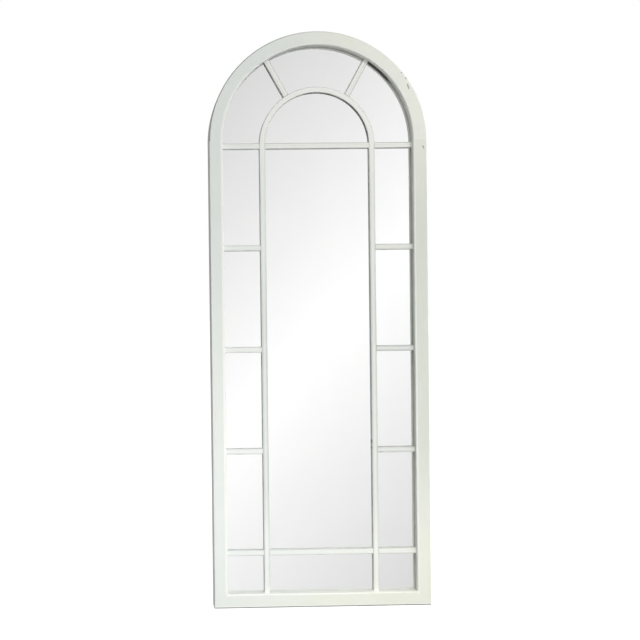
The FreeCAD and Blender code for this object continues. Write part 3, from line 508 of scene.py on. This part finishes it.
# Painted shade on a bar's rounded edges, which also take the wear.
BAR_ARRIS = (BAR_HALF - 0.0024, BAR_HALF - 0.0012)
BAR_ARRIS_BLOTS = (0.30, 0.65, 0.20, 0.45)
LINE = (0.0013, 0.0005)             # from the line's middle
# Painted shade at a bar's foot against the glass.
FOOT_BLOTS = (0.25, 0.7)
FOOT_RISE, BLACK_FOOT_RISE = 0.0025, 0.0060
BLACK_FOOT = 0.8                    # the corner shade from which a foot is black all the way up
FOOT_FULL = 1 / 5                   # the share of its rise up to which it is darkest


def bar_paint(name, run, middle, corner_shade, spots, shade_share=None, lines=(), shaded=(0.0, 0.0)):
    """The finish of a glazing bar whose centre line lies at that place across it. The corner
    shade sets how dark the painted shade at its foot against the glass is, and an optional
    function gives the share of it from place to place; lines are thin lines of painted shade
    along the bar, and the last pair says how much painted shade lies over the bar at middle
    height, on the left and right."""
    tree = new_tree(name)
    point = tree.position()
    place = tree.split(point)
    along, across = run(tree, place)
    colour, height, blots = paint_layers(tree, point, strokes(tree, place, along, across))
    from_middle = tree.math("SUBTRACT", across, middle)
    offset = tree.math("ABSOLUTE", from_middle)
    front = tree.band(place["Y"], *BAR_DEPTH)

    colour = tree.mix(NEUTRAL_SHARE, colour, PAINT_NEUTRAL)
    # Painted shade over the bars at middle height.
    bar_shaded = tree.product(tree.band(place["Z"], *BAR_SHADE_ABOVE_Z),
                           tree.band(place["Z"], *BAR_SHADE_BELOW_Z),
                           tree.band(place["X"], *BAR_SHADE_X, *shaded))
    colour = tree.mix(bar_shaded, colour, PAINT_BAR_SHADED)
    # Painted light: paler from just below the spring line up.
    colour = tree.mix(tree.band(place["Z"], *UPPER_LIGHT_Z), colour, PAINT_LIGHTER_AND_HIGHLIGHT)
    # A painted highlight along the middle of the face.
    ridge_highlight = tree.product(tree.band(offset, *RIDGE), front, RIDGE_SHARE)
    colour = tree.mix(ridge_highlight, colour, PAINT_LIGHTER_AND_HIGHLIGHT)

    # Painted shade on the rounded edges and in thin lines along the bar.
    arris = tree.product(tree.band(offset, *BAR_ARRIS), front)
    edge_shade = tree.product(arris, tree.band(blots, *BAR_ARRIS_BLOTS))
    for spot, strength in lines:
        gap = tree.math("ABSOLUTE", tree.math("SUBTRACT", from_middle, spot))
        edge_shade = tree.largest(edge_shade, tree.product(tree.band(gap, *LINE, 0.0, strength), front))
    colour = tree.mix(edge_shade, colour, PAINT_SHADE)
    # Painted shade at the bar's foot against the glass.
    rise = BLACK_FOOT_RISE if corner_shade >= BLACK_FOOT else FOOT_RISE
    foot_shading = tree.product(tree.band(place["Y"], GLASS_FRONT - rise, GLASS_FRONT - rise * FOOT_FULL),
                        tree.band(blots, *FOOT_BLOTS, SHADE_LEAST * corner_shade, corner_shade))
    if shade_share:
        foot_shading = tree.product(foot_shading, shade_share(tree, place))
    colour = tree.mix(foot_shading, colour, FOOT_SHADE)

    ragged = tree.noise(point, *BAR_RAGGED)
    worn = tree.product(tree.band(ragged, *BAR_WORN), arris)
    colour, worn = chipped(tree, place, ragged, worn, spots, colour)
    height = tree.linear(worn, CHIP_HEIGHT, height)
    roughness = tree.linear(blots, *PAINT_ROUGHNESS)
    return tree.surface(colour, roughness, tree.bump(height, PAINT_RELIEF))


# ---------------------------------------------------------------- the other materials

RAW_ROUGHNESS, RAW_RELIEF = 0.68, 0.0002
MIDDLE_LEVELS, UPPER_LEVELS = (0.3, 0.7), (0.35, 0.7)    # of a noise, from one tone to the next

BOARD_DARK, BOARD_LIGHT = (0.175, 0.095, 0.050), (0.300, 0.185, 0.105)
BOARD_CLOUD, BOARD_FLECK = (0.36, 0.24, 0.15), (0.07, 0.04, 0.025)
BOARD_CLOUDS, BOARD_FIBRES, BOARD_FLECKS = (7, 3, 0.6), (480, 4, 0.7), (900, 2, 0.7)
CLOUDED, FLECKED = (0.3, 0.75, 0.0, 0.35), (0.66, 0.72, 0.0, 0.7)
FIBRE_SQUASH = 0.25                 # fibres lie longer upwards
BOARD_ROUGHNESS = (0.3, 0.42)
BOARD_RELIEF = 0.00025

CLIP_ZINC, HANGER_ZINC, SCREW_ZINC = (0.66, 0.66, 0.65), (0.70, 0.69, 0.67), (0.72, 0.70, 0.64)
ZINC_CRYSTALS, ZINC_LINES, ZINC_BLOOM = (160, 3, 0.6), (2600, 2, 0.5), (60, 3, 0.6)
ZINC_DARKER = 0.72
ROLLING_SQUASH = 0.06
BLOOMED = (0.5, 0.7)
BLOOM_ROUGHER = 0.18
ZINC_ROUGHNESS = (0.2, 0.2)
ZINC_RELIEF = 0.00004

RUBBER_DARK, RUBBER_PALE = (0.022, 0.022, 0.023), (0.055, 0.054, 0.052)
RUBBER_CLOUDS, RUBBER_GRAIN = (300, 3, 0.6), (3500, 2, 0.5)
RUBBER_ROUGHNESS = (0.25, 0.55)
RUBBER_RELIEF = 0.00006

GLASS_CLEAR, GLASS_TINGED = (0.988, 0.992, 0.989), (0.976, 0.983, 0.979)
WIPING_MARKS = (6, 4, 0.7)
GLASS_IOR = 1.5

COAT_DARK, COAT_PALE = (0.20, 0.21, 0.22), (0.26, 0.27, 0.28)
COAT_CLOUDS = (40, 3, 0.6)
COAT_ROUGHNESS = 0.55

SILVER_DARK, SILVER_BRIGHT = (0.958, 0.956, 0.956), (0.968, 0.964, 0.964)
SILVER_SPECK = (0.70, 0.71, 0.70)
SILVER_CLOUDS, SILVER_SPECKS = (4, 3, 0.6), (420, 3, 0.7)
SPECKED = (0.70, 0.76, 0.0, 0.10)


def raw_wood(name, run):
    tree = new_tree(name)
    place = tree.split(tree.position())
    colour, fibres = wood_colour(tree, strokes(tree, place, *run(tree, place)))
    return tree.surface(colour, RAW_ROUGHNESS, tree.bump(fibres, RAW_RELIEF))


def hardboard():
    """Brown pressed board: matted fibres with dark flecks, a little shiny where pressed."""
    tree = new_tree("hardboard")
    point = tree.position()
    place = tree.split(point)
    lying = tree.join(place["X"], place["Y"], tree.product(place["Z"], FIBRE_SQUASH))
    fibres = tree.noise(lying, *BOARD_FIBRES)
    clouds = tree.noise(point, *BOARD_CLOUDS)
    flecks = tree.noise(point, *BOARD_FLECKS)
    colour = tree.mix(tree.band(fibres, *MIDDLE_LEVELS), BOARD_DARK, BOARD_LIGHT)
    colour = tree.mix(tree.band(clouds, *CLOUDED), colour, BOARD_CLOUD)
    colour = tree.mix(tree.band(flecks, *FLECKED), colour, BOARD_FLECK)
    roughness = tree.linear(fibres, *BOARD_ROUGHNESS)
    return tree.surface(colour, roughness, tree.bump(fibres, BOARD_RELIEF))


def zinc_steel(name, tint):
    """Bright zinc plate: cloudy crystals, fine rolling marks and a dull bloom in places."""
    tree = new_tree(name)
    point = tree.position()
    place = tree.split(point)
    rolled = tree.join(tree.product(place["X"], ROLLING_SQUASH), place["Y"], place["Z"])
    lines = tree.noise(rolled, *ZINC_LINES)
    crystals = tree.noise(point, *ZINC_CRYSTALS)
    dark = tuple(channel * ZINC_DARKER for channel in tint)
    colour = tree.mix(tree.band(crystals, *UPPER_LEVELS), tint, dark)
    bloom = tree.band(tree.noise(point, *ZINC_BLOOM), *BLOOMED)
    roughness = tree.linear(bloom, BLOOM_ROUGHER, tree.linear(lines, *ZINC_ROUGHNESS))
    return tree.surface(colour, roughness, tree.bump(lines, ZINC_RELIEF), metallic=1.0)


def rubber(name):
    """Black rubber with a grey bloom and a fine grain."""
    tree = new_tree(name)
    point = tree.position()
    clouds = tree.noise(point, *RUBBER_CLOUDS)
    grain = tree.noise(point, *RUBBER_GRAIN)
    colour = tree.mix(tree.band(clouds, *UPPER_LEVELS), RUBBER_DARK, RUBBER_PALE)
    roughness = tree.linear(clouds, *RUBBER_ROUGHNESS)
    return tree.surface(colour, roughness, tree.bump(grain, RUBBER_RELIEF))


def clear_glass():
    """Polished glass with a faint green tinge and the lightest of wiping marks."""
    tree = new_tree("clear_glass")
    marks = tree.noise(tree.position(), *WIPING_MARKS)
    tint = tree.mix(tree.band(marks, *MIDDLE_LEVELS), GLASS_CLEAR, GLASS_TINGED)
    shader = tree.add("BsdfPrincipled", {"Base Color": tint, "Roughness": 0.0, "IOR": GLASS_IOR,
                                         "Transmission Weight": 1.0})
    tree.add("OutputMaterial", {"Surface": shader.outputs[0]})
    return tree.owner


def backing_coat():
    """The grey protective paint behind the silver."""
    tree = new_tree("backing_coat")
    clouds = tree.noise(tree.position(), *COAT_CLOUDS)
    colour = tree.mix(tree.band(clouds, *MIDDLE_LEVELS), COAT_DARK, COAT_PALE)
    return tree.surface(colour, COAT_ROUGHNESS)


def silvering():
    """The bright metal film behind the glass, with a few fine specks."""
    tree = new_tree("silvering")
    point = tree.position()
    clouds = tree.band(tree.noise(point, *SILVER_CLOUDS), *MIDDLE_LEVELS)
    specks = tree.band(tree.noise(point, *SILVER_SPECKS), *SPECKED)
    colour = tree.mix(clouds, SILVER_DARK, SILVER_BRIGHT)
    colour = tree.mix(specks, colour, SILVER_SPECK)
    return tree.surface(colour, 0.0, metallic=1.0)


# ---------------------------------------------------------------- the mirror

MIRROR_SKIN = 0.00005    # keeps the sheet clear of the bars before it and the board behind it
SILVER_DEPTH = 0.0010    # the photo shows next to no gap between a bar and its mirror image
GROUND_EDGE = 0.0006
ARCH_SIDES = 128
SILVER_RING = 2          # of the five rings of corners, counted from the front
GLASS_SLOT, SILVER_SLOT, COAT_SLOT = 0, 1, 2


def make_mirror():
    """The sheet of mirror: clear glass with a ground edge, silver, and a coated back."""
    low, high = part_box("mirror_glass")
    radius = high.x
    outline = [(radius, low.z)]
    for step in range(ARCH_SIDES + 1):
        turn = math.pi * step / ARCH_SIDES
        outline.append((radius * math.cos(turn), SPRING + radius * math.sin(turn)))
    outline.append((-radius, low.z))
    mesh = bmesh.new()
    front, back = low.y + MIRROR_SKIN, high.y - MIRROR_SKIN
    centre = (high.z + low.z) / 2
    rings = []
    for depth, inset in ((front, GROUND_EDGE), (front + GROUND_EDGE, 0),
                         (low.y + SILVER_DEPTH, 0), (back - GROUND_EDGE, 0),
                         (back, GROUND_EDGE)):
        shrink = 1 - inset / radius
        rings.append([mesh.verts.new((x * shrink, depth, centre + (z - centre) * shrink))
                      for x, z in outline])
    count = len(outline)
    for number, (before, ring) in enumerate(zip(rings, rings[1:]), 1):
        slot = GLASS_SLOT if number <= SILVER_RING else COAT_SLOT
        for side in range(count):
            after = (side + 1) % count
            face = mesh.faces.new((before[side], before[after], ring[after], ring[side]))
            face.material_index = slot
    mesh.faces.new(rings[0])
    mesh.faces.new(list(reversed(rings[-1]))).material_index = COAT_SLOT
    bmesh.ops.recalc_face_normals(mesh, faces=mesh.faces)
    mesh.faces.new(list(reversed(rings[SILVER_RING]))).material_index = SILVER_SLOT
    piece = to_object("silvered_mirror", mesh)
    for material in (clear_glass(), silvering(), backing_coat()):
        piece.data.materials.append(material)
    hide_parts("mirror_glass")
    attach(piece, "frame")


# ---------------------------------------------------------------- screws

SCREW_PITCH = 0.0014
THREAD_DEPTH = 0.0005
THREAD_SLOPE = 4            # the ridge takes half of the pitch
CORE_LEAST = 0.4            # the core never gets thinner than this share of the shank there
HEAD_HEIGHT = 0.0022
HEAD_TO_SHANK = 2
POINT_LENGTH = 2            # in shank radii
DOME_RIM, DOME_FULLNESS = 0.3, 0.7
RECESS_WIDTH = 0.0011
RECESS_REACH = 0.0021
RECESS_DEPTH = 0.0015
RECESS_TOP, RECESS_FLOOR = 1.2, 0.45
SCREW_SIDES = 28
DOME_STEPS = 6
STEPS_PER_TURN = 6
TURN_BETWEEN_SCREWS = math.radians(137)
CRISP_FROM = math.radians(35)
SAME_POINT = 1e-6
ROW_DIGITS = 4              # places that agree to a tenth of a millimetre are in one row


def islands(node):
    """The lowest and highest corner of each separate solid in a node."""
    mesh = bmesh.new()
    mesh.from_mesh(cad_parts[node].data)
    bmesh.ops.remove_doubles(mesh, verts=mesh.verts, dist=SAME_POINT)
    left = set(mesh.verts)
    boxes = []
    while left:
        found, waiting = set(), [left.pop()]
        while waiting:
            vertex = waiting.pop()
            found.add(vertex)
            for edge in vertex.link_edges:
                other = edge.other_vert(vertex)
                if other in left:
                    left.remove(other)
                    waiting.append(other)
        places = [vertex.co for vertex in found]
        low = Vector([min(place[axis] for place in places) for axis in range(3)])
        high = Vector([max(place[axis] for place in places) for axis in range(3)])
        boxes.append((low, high))
    mesh.free()
    return sorted(boxes, key=lambda box: (round(box[0].z, ROW_DIGITS),
                                          round(box[0].x, ROW_DIGITS)))


def screw_profile(head, length, height, shank):
    """Rings of a screw from its point at -length to the top of its domed head at height."""
    rings = [("point", 0.0, -length)]
    steps = round(length / SCREW_PITCH * STEPS_PER_TURN)
    for step in range(1, steps):
        up = -length + length * step / steps
        taper = min(1.0, (length + up) / (POINT_LENGTH * shank))
        rings.append(("thread", taper * shank, up))
    rings.append(("plain", shank, 0.0))
    rings.append(("plain", head, 0.0))
    for step in range(DOME_STEPS + 1):
        turn = math.pi / 2 * step / (DOME_STEPS + 1)
        up = height * (DOME_RIM + (1 - DOME_RIM) * math.sin(turn))
        rings.append(("plain", head * math.cos(turn) ** DOME_FULLNESS, up))
    rings.append(("point", 0.0, height))
    return rings


def thread_radius(radius, up, turn):
    """The shank's radius there, with a sharp-edged thread wound round it."""
    phase = (up / SCREW_PITCH - turn / (2 * math.pi)) % 1.0
    ridge_highlight = max(0.0, 1 - abs(phase - 0.5) * THREAD_SLOPE)
    return max(radius - THREAD_DEPTH * (1 - ridge_highlight), radius * CORE_LEAST)


def screw_mesh(name, head, length):
    """One screw along Z with its head up, as a mesh with a cross recess cut in the head."""
    mesh = bmesh.new()
    previous = None
    for kind, radius, up in screw_profile(head, length, HEAD_HEIGHT, head / HEAD_TO_SHANK):
        if kind == "point":
            ring = [mesh.verts.new((0, 0, up))]
        else:
            ring = []
            for side in range(SCREW_SIDES):
                turn = 2 * math.pi * side / SCREW_SIDES
                wide = thread_radius(radius, up, turn) if kind == "thread" else radius
                ring.append(mesh.verts.new((wide * math.cos(turn), wide * math.sin(turn), up)))
        if previous:
            for side in range(SCREW_SIDES):
                after = (side + 1) % SCREW_SIDES
                if len(previous) == 1:
                    mesh.faces.new((previous[0], ring[after], ring[side]))
                elif len(ring) == 1:
                    mesh.faces.new((previous[side], previous[after], ring[0]))
                else:
                    mesh.faces.new((previous[side], previous[after], ring[after], ring[side]))
        previous = ring
    bmesh.ops.recalc_face_normals(mesh, faces=mesh.faces)
    screw = to_object(name, mesh)
    cutter = to_object(name + "_recess", recess_cutter(HEAD_HEIGHT))
    cut = screw.modifiers.new("recess", "BOOLEAN")
    cut.operation, cut.object, cut.solver = "DIFFERENCE", cutter, "EXACT"
    bpy.context.view_layer.update()
    shape = screw.evaluated_get(bpy.context.evaluated_depsgraph_get())
    made = bpy.data.meshes.new_from_object(shape)
    for item in (screw, cutter):
        bpy.data.objects.remove(item)
    return made


def recess_cutter(top):
    """A cross that narrows downwards."""
    mesh = bmesh.new()
    half, reach = RECESS_WIDTH / 2, RECESS_REACH
    quarter = [(reach, -half), (reach, half), (half, half)]
    outline = []
    for turn in range(4):
        spin = Matrix.Rotation(turn * math.pi / 2, 2)
        outline += [spin @ Vector(corner) for corner in quarter]
    layers = []
    for up, share in ((top + RECESS_DEPTH / 2, RECESS_TOP), (top - RECESS_DEPTH, RECESS_FLOOR)):
        layers.append([mesh.verts.new((spot.x * share, spot.y * share, up)) for spot in outline])
    mesh.faces.new(layers[0])
    mesh.faces.new(list(reversed(layers[1])))
    count = len(outline)
    for side in range(count):
        after = (side + 1) % count
        mesh.faces.new((layers[0][after], layers[0][side], layers[1][side], layers[1][after]))
    bmesh.ops.recalc_face_normals(mesh, faces=mesh.faces)
    return mesh


def to_object(name, mesh):
    data = bpy.data.meshes.new(name)
    mesh.to_mesh(data)
    mesh.free()
    item = bpy.data.objects.new(name, data)
    bpy.context.scene.collection.objects.link(item)
    return item


def make_screws(node, material):
    """Detailed screws in the places of a node's plain ones."""
    boxes = islands(node)
    low, high = boxes[0]
    one = screw_mesh(node + "_one", (high.x - low.x) / 2, high.y - low.y - HEAD_HEIGHT)
    group = bmesh.new()
    for number, (low, high) in enumerate(boxes):
        centre = (low + high) / 2
        seat = Matrix.Translation((centre.x, high.y - HEAD_HEIGHT, centre.z))
        lay = Matrix.Rotation(math.radians(-90), 4, "X")
        spin = Matrix.Rotation(number * TURN_BETWEEN_SCREWS, 4, "Z")
        copy = one.copy()
        copy.transform(seat @ lay @ spin)
        group.from_mesh(copy)
        bpy.data.meshes.remove(copy)
    bpy.data.meshes.remove(one)
    piece = to_object(node + "_threaded", group)
    piece.data.materials.append(material)
    smooth(piece)
    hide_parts(node)
    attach(piece, "frame")


def smooth(item):
    """Smooth shading, with the sharp edges kept crisp."""
    mesh = bmesh.new()
    mesh.from_mesh(item.data)
    for edge in mesh.edges:
        if len(edge.link_faces) == 2 and edge.calc_face_angle() > CRISP_FROM:
            edge.smooth = False
    for face in mesh.faces:
        face.smooth = True
    mesh.to_mesh(item.data)
    mesh.free()


# ---------------------------------------------------------------- finishing the nodes

def finish_node(node, material):
    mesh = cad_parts[node].data
    mesh.materials.clear()
    mesh.materials.append(material)


# Knocks in the paint: centre across and up, half length and half width, and slant in degrees.
HEAD_KNOCKS = [(0.2665, 1.5255, 0.0105, 0.0022, -72), (0.2599, 1.5492, 0.0036, 0.0016, -50),
               (0.2474, 1.5657, 0.0030, 0.0016, -45)]
STILE_KNOCKS = [(0.3093, 1.3480, 0.0055, 0.0022, -70)]
UPRIGHT_KNOCKS = [(0.1536, 0.4822, 0.0060, 0.0022, 90), (0.1535, 0.4630, 0.0030, 0.0020, 80)]
BAR_KNOCKS = [(0.1796, 0.4507, 0.0045, 0.0020, 0)]

# How much painted shade lies in the corners against the glass.
FRAME_SHADE = 0.7
UPRIGHT_SHADE = 0.25
INNER_ARCH_SHADE = 1.0

# Each row of short bars: its knocks, and how much painted shade lies over it on the left and
# right.
BAR_ROWS = (("lower", BAR_KNOCKS, (0.05, 0.60)), ("middle", [], (0.05, 0.80)),
            ("upper", [], (0.05, 0.50)))
UPRIGHT_SHADED = (0.72, 0.48)

# Thin lines of painted shade along a bar: how far each lies from its middle, and how strong it
# is.
SPRING_LINES = [(0.0070, 0.50), (0.0015, 0.14)]
INNER_ARCH_LINES = [(0.0074, 0.30)]
SPOKE_LINES = [(0.0072, 0.50), (-0.0072, 0.50), (0.0020, 0.22)]


def finish_frame():
    uprights = frame_paint("stile_paint", "stile", upright_run, FRAME_SHADE, STILE_KNOCKS)
    head_run = round_run(SPRING, HALF_WIDTH - FRAME_FACE / 2)
    head = frame_paint("arch_paint", "arch", head_run, FRAME_SHADE, HEAD_KNOCKS)
    for node in ("left_stile", "right_stile"):
        finish_node(node, uprights)
    for node in ("arch_left_lower", "arch_left_upper", "arch_right_upper", "arch_right_lower"):
        finish_node(node, head)
    finish_node("bottom_rail", frame_paint("rail_paint", "rail", level_run, 0.0, []))
    finish_node("arch_tongues", raw_wood("tongue_wood", round_run(SPRING, HALF_WIDTH)))


def in_the_middle(tree, place):
    """The share of the painted shade at a bar's foot from place to place, as in the four after
    it: all of it lies between the uprights here."""
    return tree.band(tree.math("ABSOLUTE", place["X"]), 0.165, 0.150, 0.1, 1.0)


def to_the_right(tree, place):
    return tree.band(place["X"], -0.11, -0.02, 0.05, 1.0)


def low_down(tree, place):
    return tree.band(place["Z"], 0.70, 0.45)


def high_up(tree, place):
    return tree.band(place["Z"], 0.95, 1.20)


def near_the_top(tree, place):
    return tree.band(place["Z"], SPRING + 0.12, SPRING + 0.22, 0.15, 1.0)


def middle_of(node):
    low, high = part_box(node)
    return (Vector(low) + Vector(high)) / 2


def finish_lattice():
    for node, shade_share, knocks in (("left_upright", low_down, []),
                                ("right_upright", high_up, UPRIGHT_KNOCKS)):
        paint = bar_paint(node + "_paint", upright_run, middle_of(node).x, UPRIGHT_SHADE, knocks,
                          shade_share, shaded=UPRIGHT_SHADED)
        finish_node(node, paint)
    for row, knocks, shaded in BAR_ROWS:
        paint = bar_paint(row + "_bar_paint", level_run, middle_of("left_bar_" + row).z, 0.0,
                          knocks, shaded=shaded)
        for side in ("left", "right"):
            finish_node("%s_bar_%s" % (side, row), paint)
    for node, corner_shade, lines in (("spring_transom", 0.45, SPRING_LINES),
                              ("bottom_transom", 0.0, [])):
        paint = bar_paint(node + "_paint", level_run, middle_of(node).z, corner_shade, [],
                          in_the_middle, lines)
        finish_node(node, paint)
    round_bar = round_run(INNER_ARCH_CENTRE, INNER_ARCH_RADIUS)
    paint = bar_paint("inner_arch_paint", round_bar, INNER_ARCH_RADIUS, INNER_ARCH_SHADE, [],
                      to_the_right, INNER_ARCH_LINES)
    finish_node("inner_arch_bar", paint)
    for node, side, corner_shade, shade_share in (("left_spoke", -1, 0.9, near_the_top),
                                    ("right_spoke", 1, 0.0, None)):
        centre = middle_of(node)
        across = side * centre.x * math.cos(SPOKE_ANGLE) - centre.z * math.sin(SPOKE_ANGLE)
        paint = bar_paint(node + "_paint", slanted_run(side), across, corner_shade, [], shade_share,
                          SPOKE_LINES)
        finish_node(node, paint)


def finish_fittings():
    make_mirror()
    finish_node("backing_board", hardboard())
    finish_node("setting_blocks", rubber("block_rubber"))
    finish_node("wall_bumpers", rubber("bumper_rubber"))
    finish_node("backing_clips", zinc_steel("clip_zinc", CLIP_ZINC))
    hanger = zinc_steel("hanger_zinc", HANGER_ZINC)
    for side in ("left", "right"):
        finish_node(side + "_hanger_strap", hanger)
        finish_node(side + "_hanger_ring", hanger)
    screw = zinc_steel("screw_zinc", SCREW_ZINC)
    for node in ("clip_screws", "hanger_screws", "bumper_screws"):
        make_screws(node, screw)


# ---------------------------------------------------------------- floor, sky and lamps

FLOOR_REACH = 400
FLOOR_BODY = (0.30, 0.30, 0.30)
FLOOR_WHITE = 0.86
# What the mirror sees is palest along a slanting line and a little darker above and below it.
# Both slopes are over the run to the side and the rise of a direction, per metre forwards.
GLOW_EYE = Vector((-0.5876, 1.972, 0.8602))
ABOVE, ABOVE_TO_RIGHT, ABOVE_UP = 0.899, 0.328, -0.326
BELOW, BELOW_TO_RIGHT, BELOW_UP = 1.116, -0.314, 0.313
DARKEST, PALEST = 0.80, 1.0
DISPLAY_GAMMA = 2.2
MIRROR_RETURN = 0.935   # what the mirror gives back of the light that falls on it
SIDEWAYS = 0.001        # keeps a direction that has no forward part from dividing by nothing

WHITE = (1, 1, 1, 1)
DAY_COLOUR = (1.0, 1.0, 0.995, 1)
DAYLIGHT, DAY_TO_RIGHT, DAY_TO_FRONT, DAY_UP = 0.42, 0.45, 0.14, 0.65
DAY_DARKEST = 0.05
MIRROR_GAIN = 4.0       # daylight and lamps together, where paint is lit by way of the mirror

# Each lamp's name, place, target, width, power and colour.
LAMPS = (("key", (1.7, -1.9, 2.5), (0, 0, 1.2), 1.0, 26, (1.0, 0.985, 0.95)),
         ("low_fill", (-0.1, -1.3, 0.10), (0, 0, 0.10), 0.9, 12.5, (1.0, 1.0, 0.99)),
         ("behind", (1.2, 2.6, 2.4), (0, 0, 0.9), 1.4, 40, (1.0, 0.99, 0.97)))


def seen_directly(tree):
    return tree.add("LightPath", {}).outputs["Is Camera Ray"]


def seen_bent(tree):
    """Whether the ray comes straight from a mirror, from metal or out of glass."""
    rays = tree.add("LightPath", {}).outputs
    return tree.math("ADD", rays["Is Glossy Ray"], rays["Is Transmission Ray"], clamp=True)


def seen_in_mirror(tree):
    """The same, for a ray that no matt surface has scattered before."""
    depth = tree.add("LightPath", {}).outputs["Diffuse Depth"]
    return tree.product(seen_bent(tree), tree.math("LESS_THAN", depth, 0.5))


def glow(tree, side, rise):
    """The brightness that the mirror shows in a direction, turned into light."""
    above = tree.linear(side, ABOVE_TO_RIGHT, ABOVE)
    above = tree.linear(rise, ABOVE_UP, above)
    below = tree.linear(side, BELOW_TO_RIGHT, BELOW)
    below = tree.linear(rise, BELOW_UP, below)
    level = tree.math("MINIMUM", tree.math("MINIMUM", above, below), PALEST)
    level = tree.math("POWER", tree.largest(level, DARKEST), DISPLAY_GAMMA)
    return tree.math("DIVIDE", level, MIRROR_RETURN)


def make_floor():
    mesh = bmesh.new()
    bmesh.ops.create_grid(mesh, x_segments=2, y_segments=2, size=FLOOR_REACH)
    floor = to_object("floor", mesh)
    tree = new_tree("floor")
    place = tree.split(tree.add("NewGeometry", {}).outputs["Position"])
    ahead = tree.math("ADD", tree.math("ABSOLUTE", place["Y"]), GLOW_EYE.y)
    side = tree.math("DIVIDE", tree.math("SUBTRACT", place["X"], GLOW_EYE.x), ahead)
    rise = tree.math("DIVIDE", -GLOW_EYE.z, ahead)
    body = tree.add("BsdfDiffuse", {"Color": (*FLOOR_BODY, 1)}).outputs[0]
    white = tree.add("Emission", {"Color": WHITE, "Strength": FLOOR_WHITE}).outputs[0]
    lit = tree.add("AddShader", {0: body, 1: white}).outputs[0]
    mirrored = tree.add("Emission", {"Color": WHITE, "Strength": glow(tree, side, rise)})
    shader = tree.add("MixShader", {0: seen_directly(tree), 1: body, 2: lit}).outputs[0]
    shader = tree.add("MixShader", {0: seen_in_mirror(tree), 1: shader,
                                    2: mirrored.outputs[0]}).outputs[0]
    tree.add("OutputMaterial", {"Surface": shader})
    floor.data.materials.append(tree.owner)


def make_sky():
    """White to the eye, a soft glow to the mirror, and daylight from the upper right."""
    world = bpy.data.worlds.new("sky")
    bpy.context.scene.world = world
    tree = Tree(world)
    direction = tree.split(tree.add("TexCoord", {}).outputs["Generated"])
    ahead = tree.largest(tree.math("ABSOLUTE", direction["Y"]), SIDEWAYS)
    side = tree.math("DIVIDE", direction["X"], ahead)
    rise = tree.math("DIVIDE", direction["Z"], ahead)
    mirrored = tree.add("Background", {"Color": WHITE, "Strength": glow(tree, side, rise)})
    white = tree.add("Background", {"Color": WHITE, "Strength": 1.0}).outputs[0]
    day = tree.linear(direction["X"], DAY_TO_RIGHT, DAYLIGHT)
    day = tree.linear(direction["Y"], -DAY_TO_FRONT, day)
    day = tree.linear(direction["Z"], DAY_UP, day)
    day = tree.largest(day, DAY_DARKEST)
    gain = tree.band(seen_bent(tree), 0.0, 1.0, 1.0, MIRROR_GAIN)
    day = tree.product(day, gain)
    ambient = tree.add("Background", {"Color": DAY_COLOUR, "Strength": day}).outputs[0]
    shader = tree.add("MixShader", {0: seen_in_mirror(tree), 1: ambient,
                                    2: mirrored.outputs[0]}).outputs[0]
    shader = tree.add("MixShader", {0: seen_directly(tree), 1: shader, 2: white}).outputs[0]
    tree.add("OutputWorld", {"Surface": shader})


def make_lamp(name, place, target, size, power, colour):
    data = bpy.data.lights.new(name, "AREA")
    data.shape, data.size, data.energy, data.color = "DISK", size, power, colour
    lamp = bpy.data.objects.new(name, data)
    lamp.location = place
    lamp.rotation_euler = (Vector(target) - Vector(place)).to_track_quat("-Z", "Y").to_euler()
    lamp.visible_camera = lamp.visible_glossy = lamp.visible_transmission = False
    bpy.context.scene.collection.objects.link(lamp)


finish_frame()
finish_lattice()
finish_fittings()
make_floor()
make_sky()
for lamp in LAMPS:
    make_lamp(*lamp)
make_camera()
bpy.context.scene.view_settings.view_transform = "Standard"
bpy.context.view_layer.update()
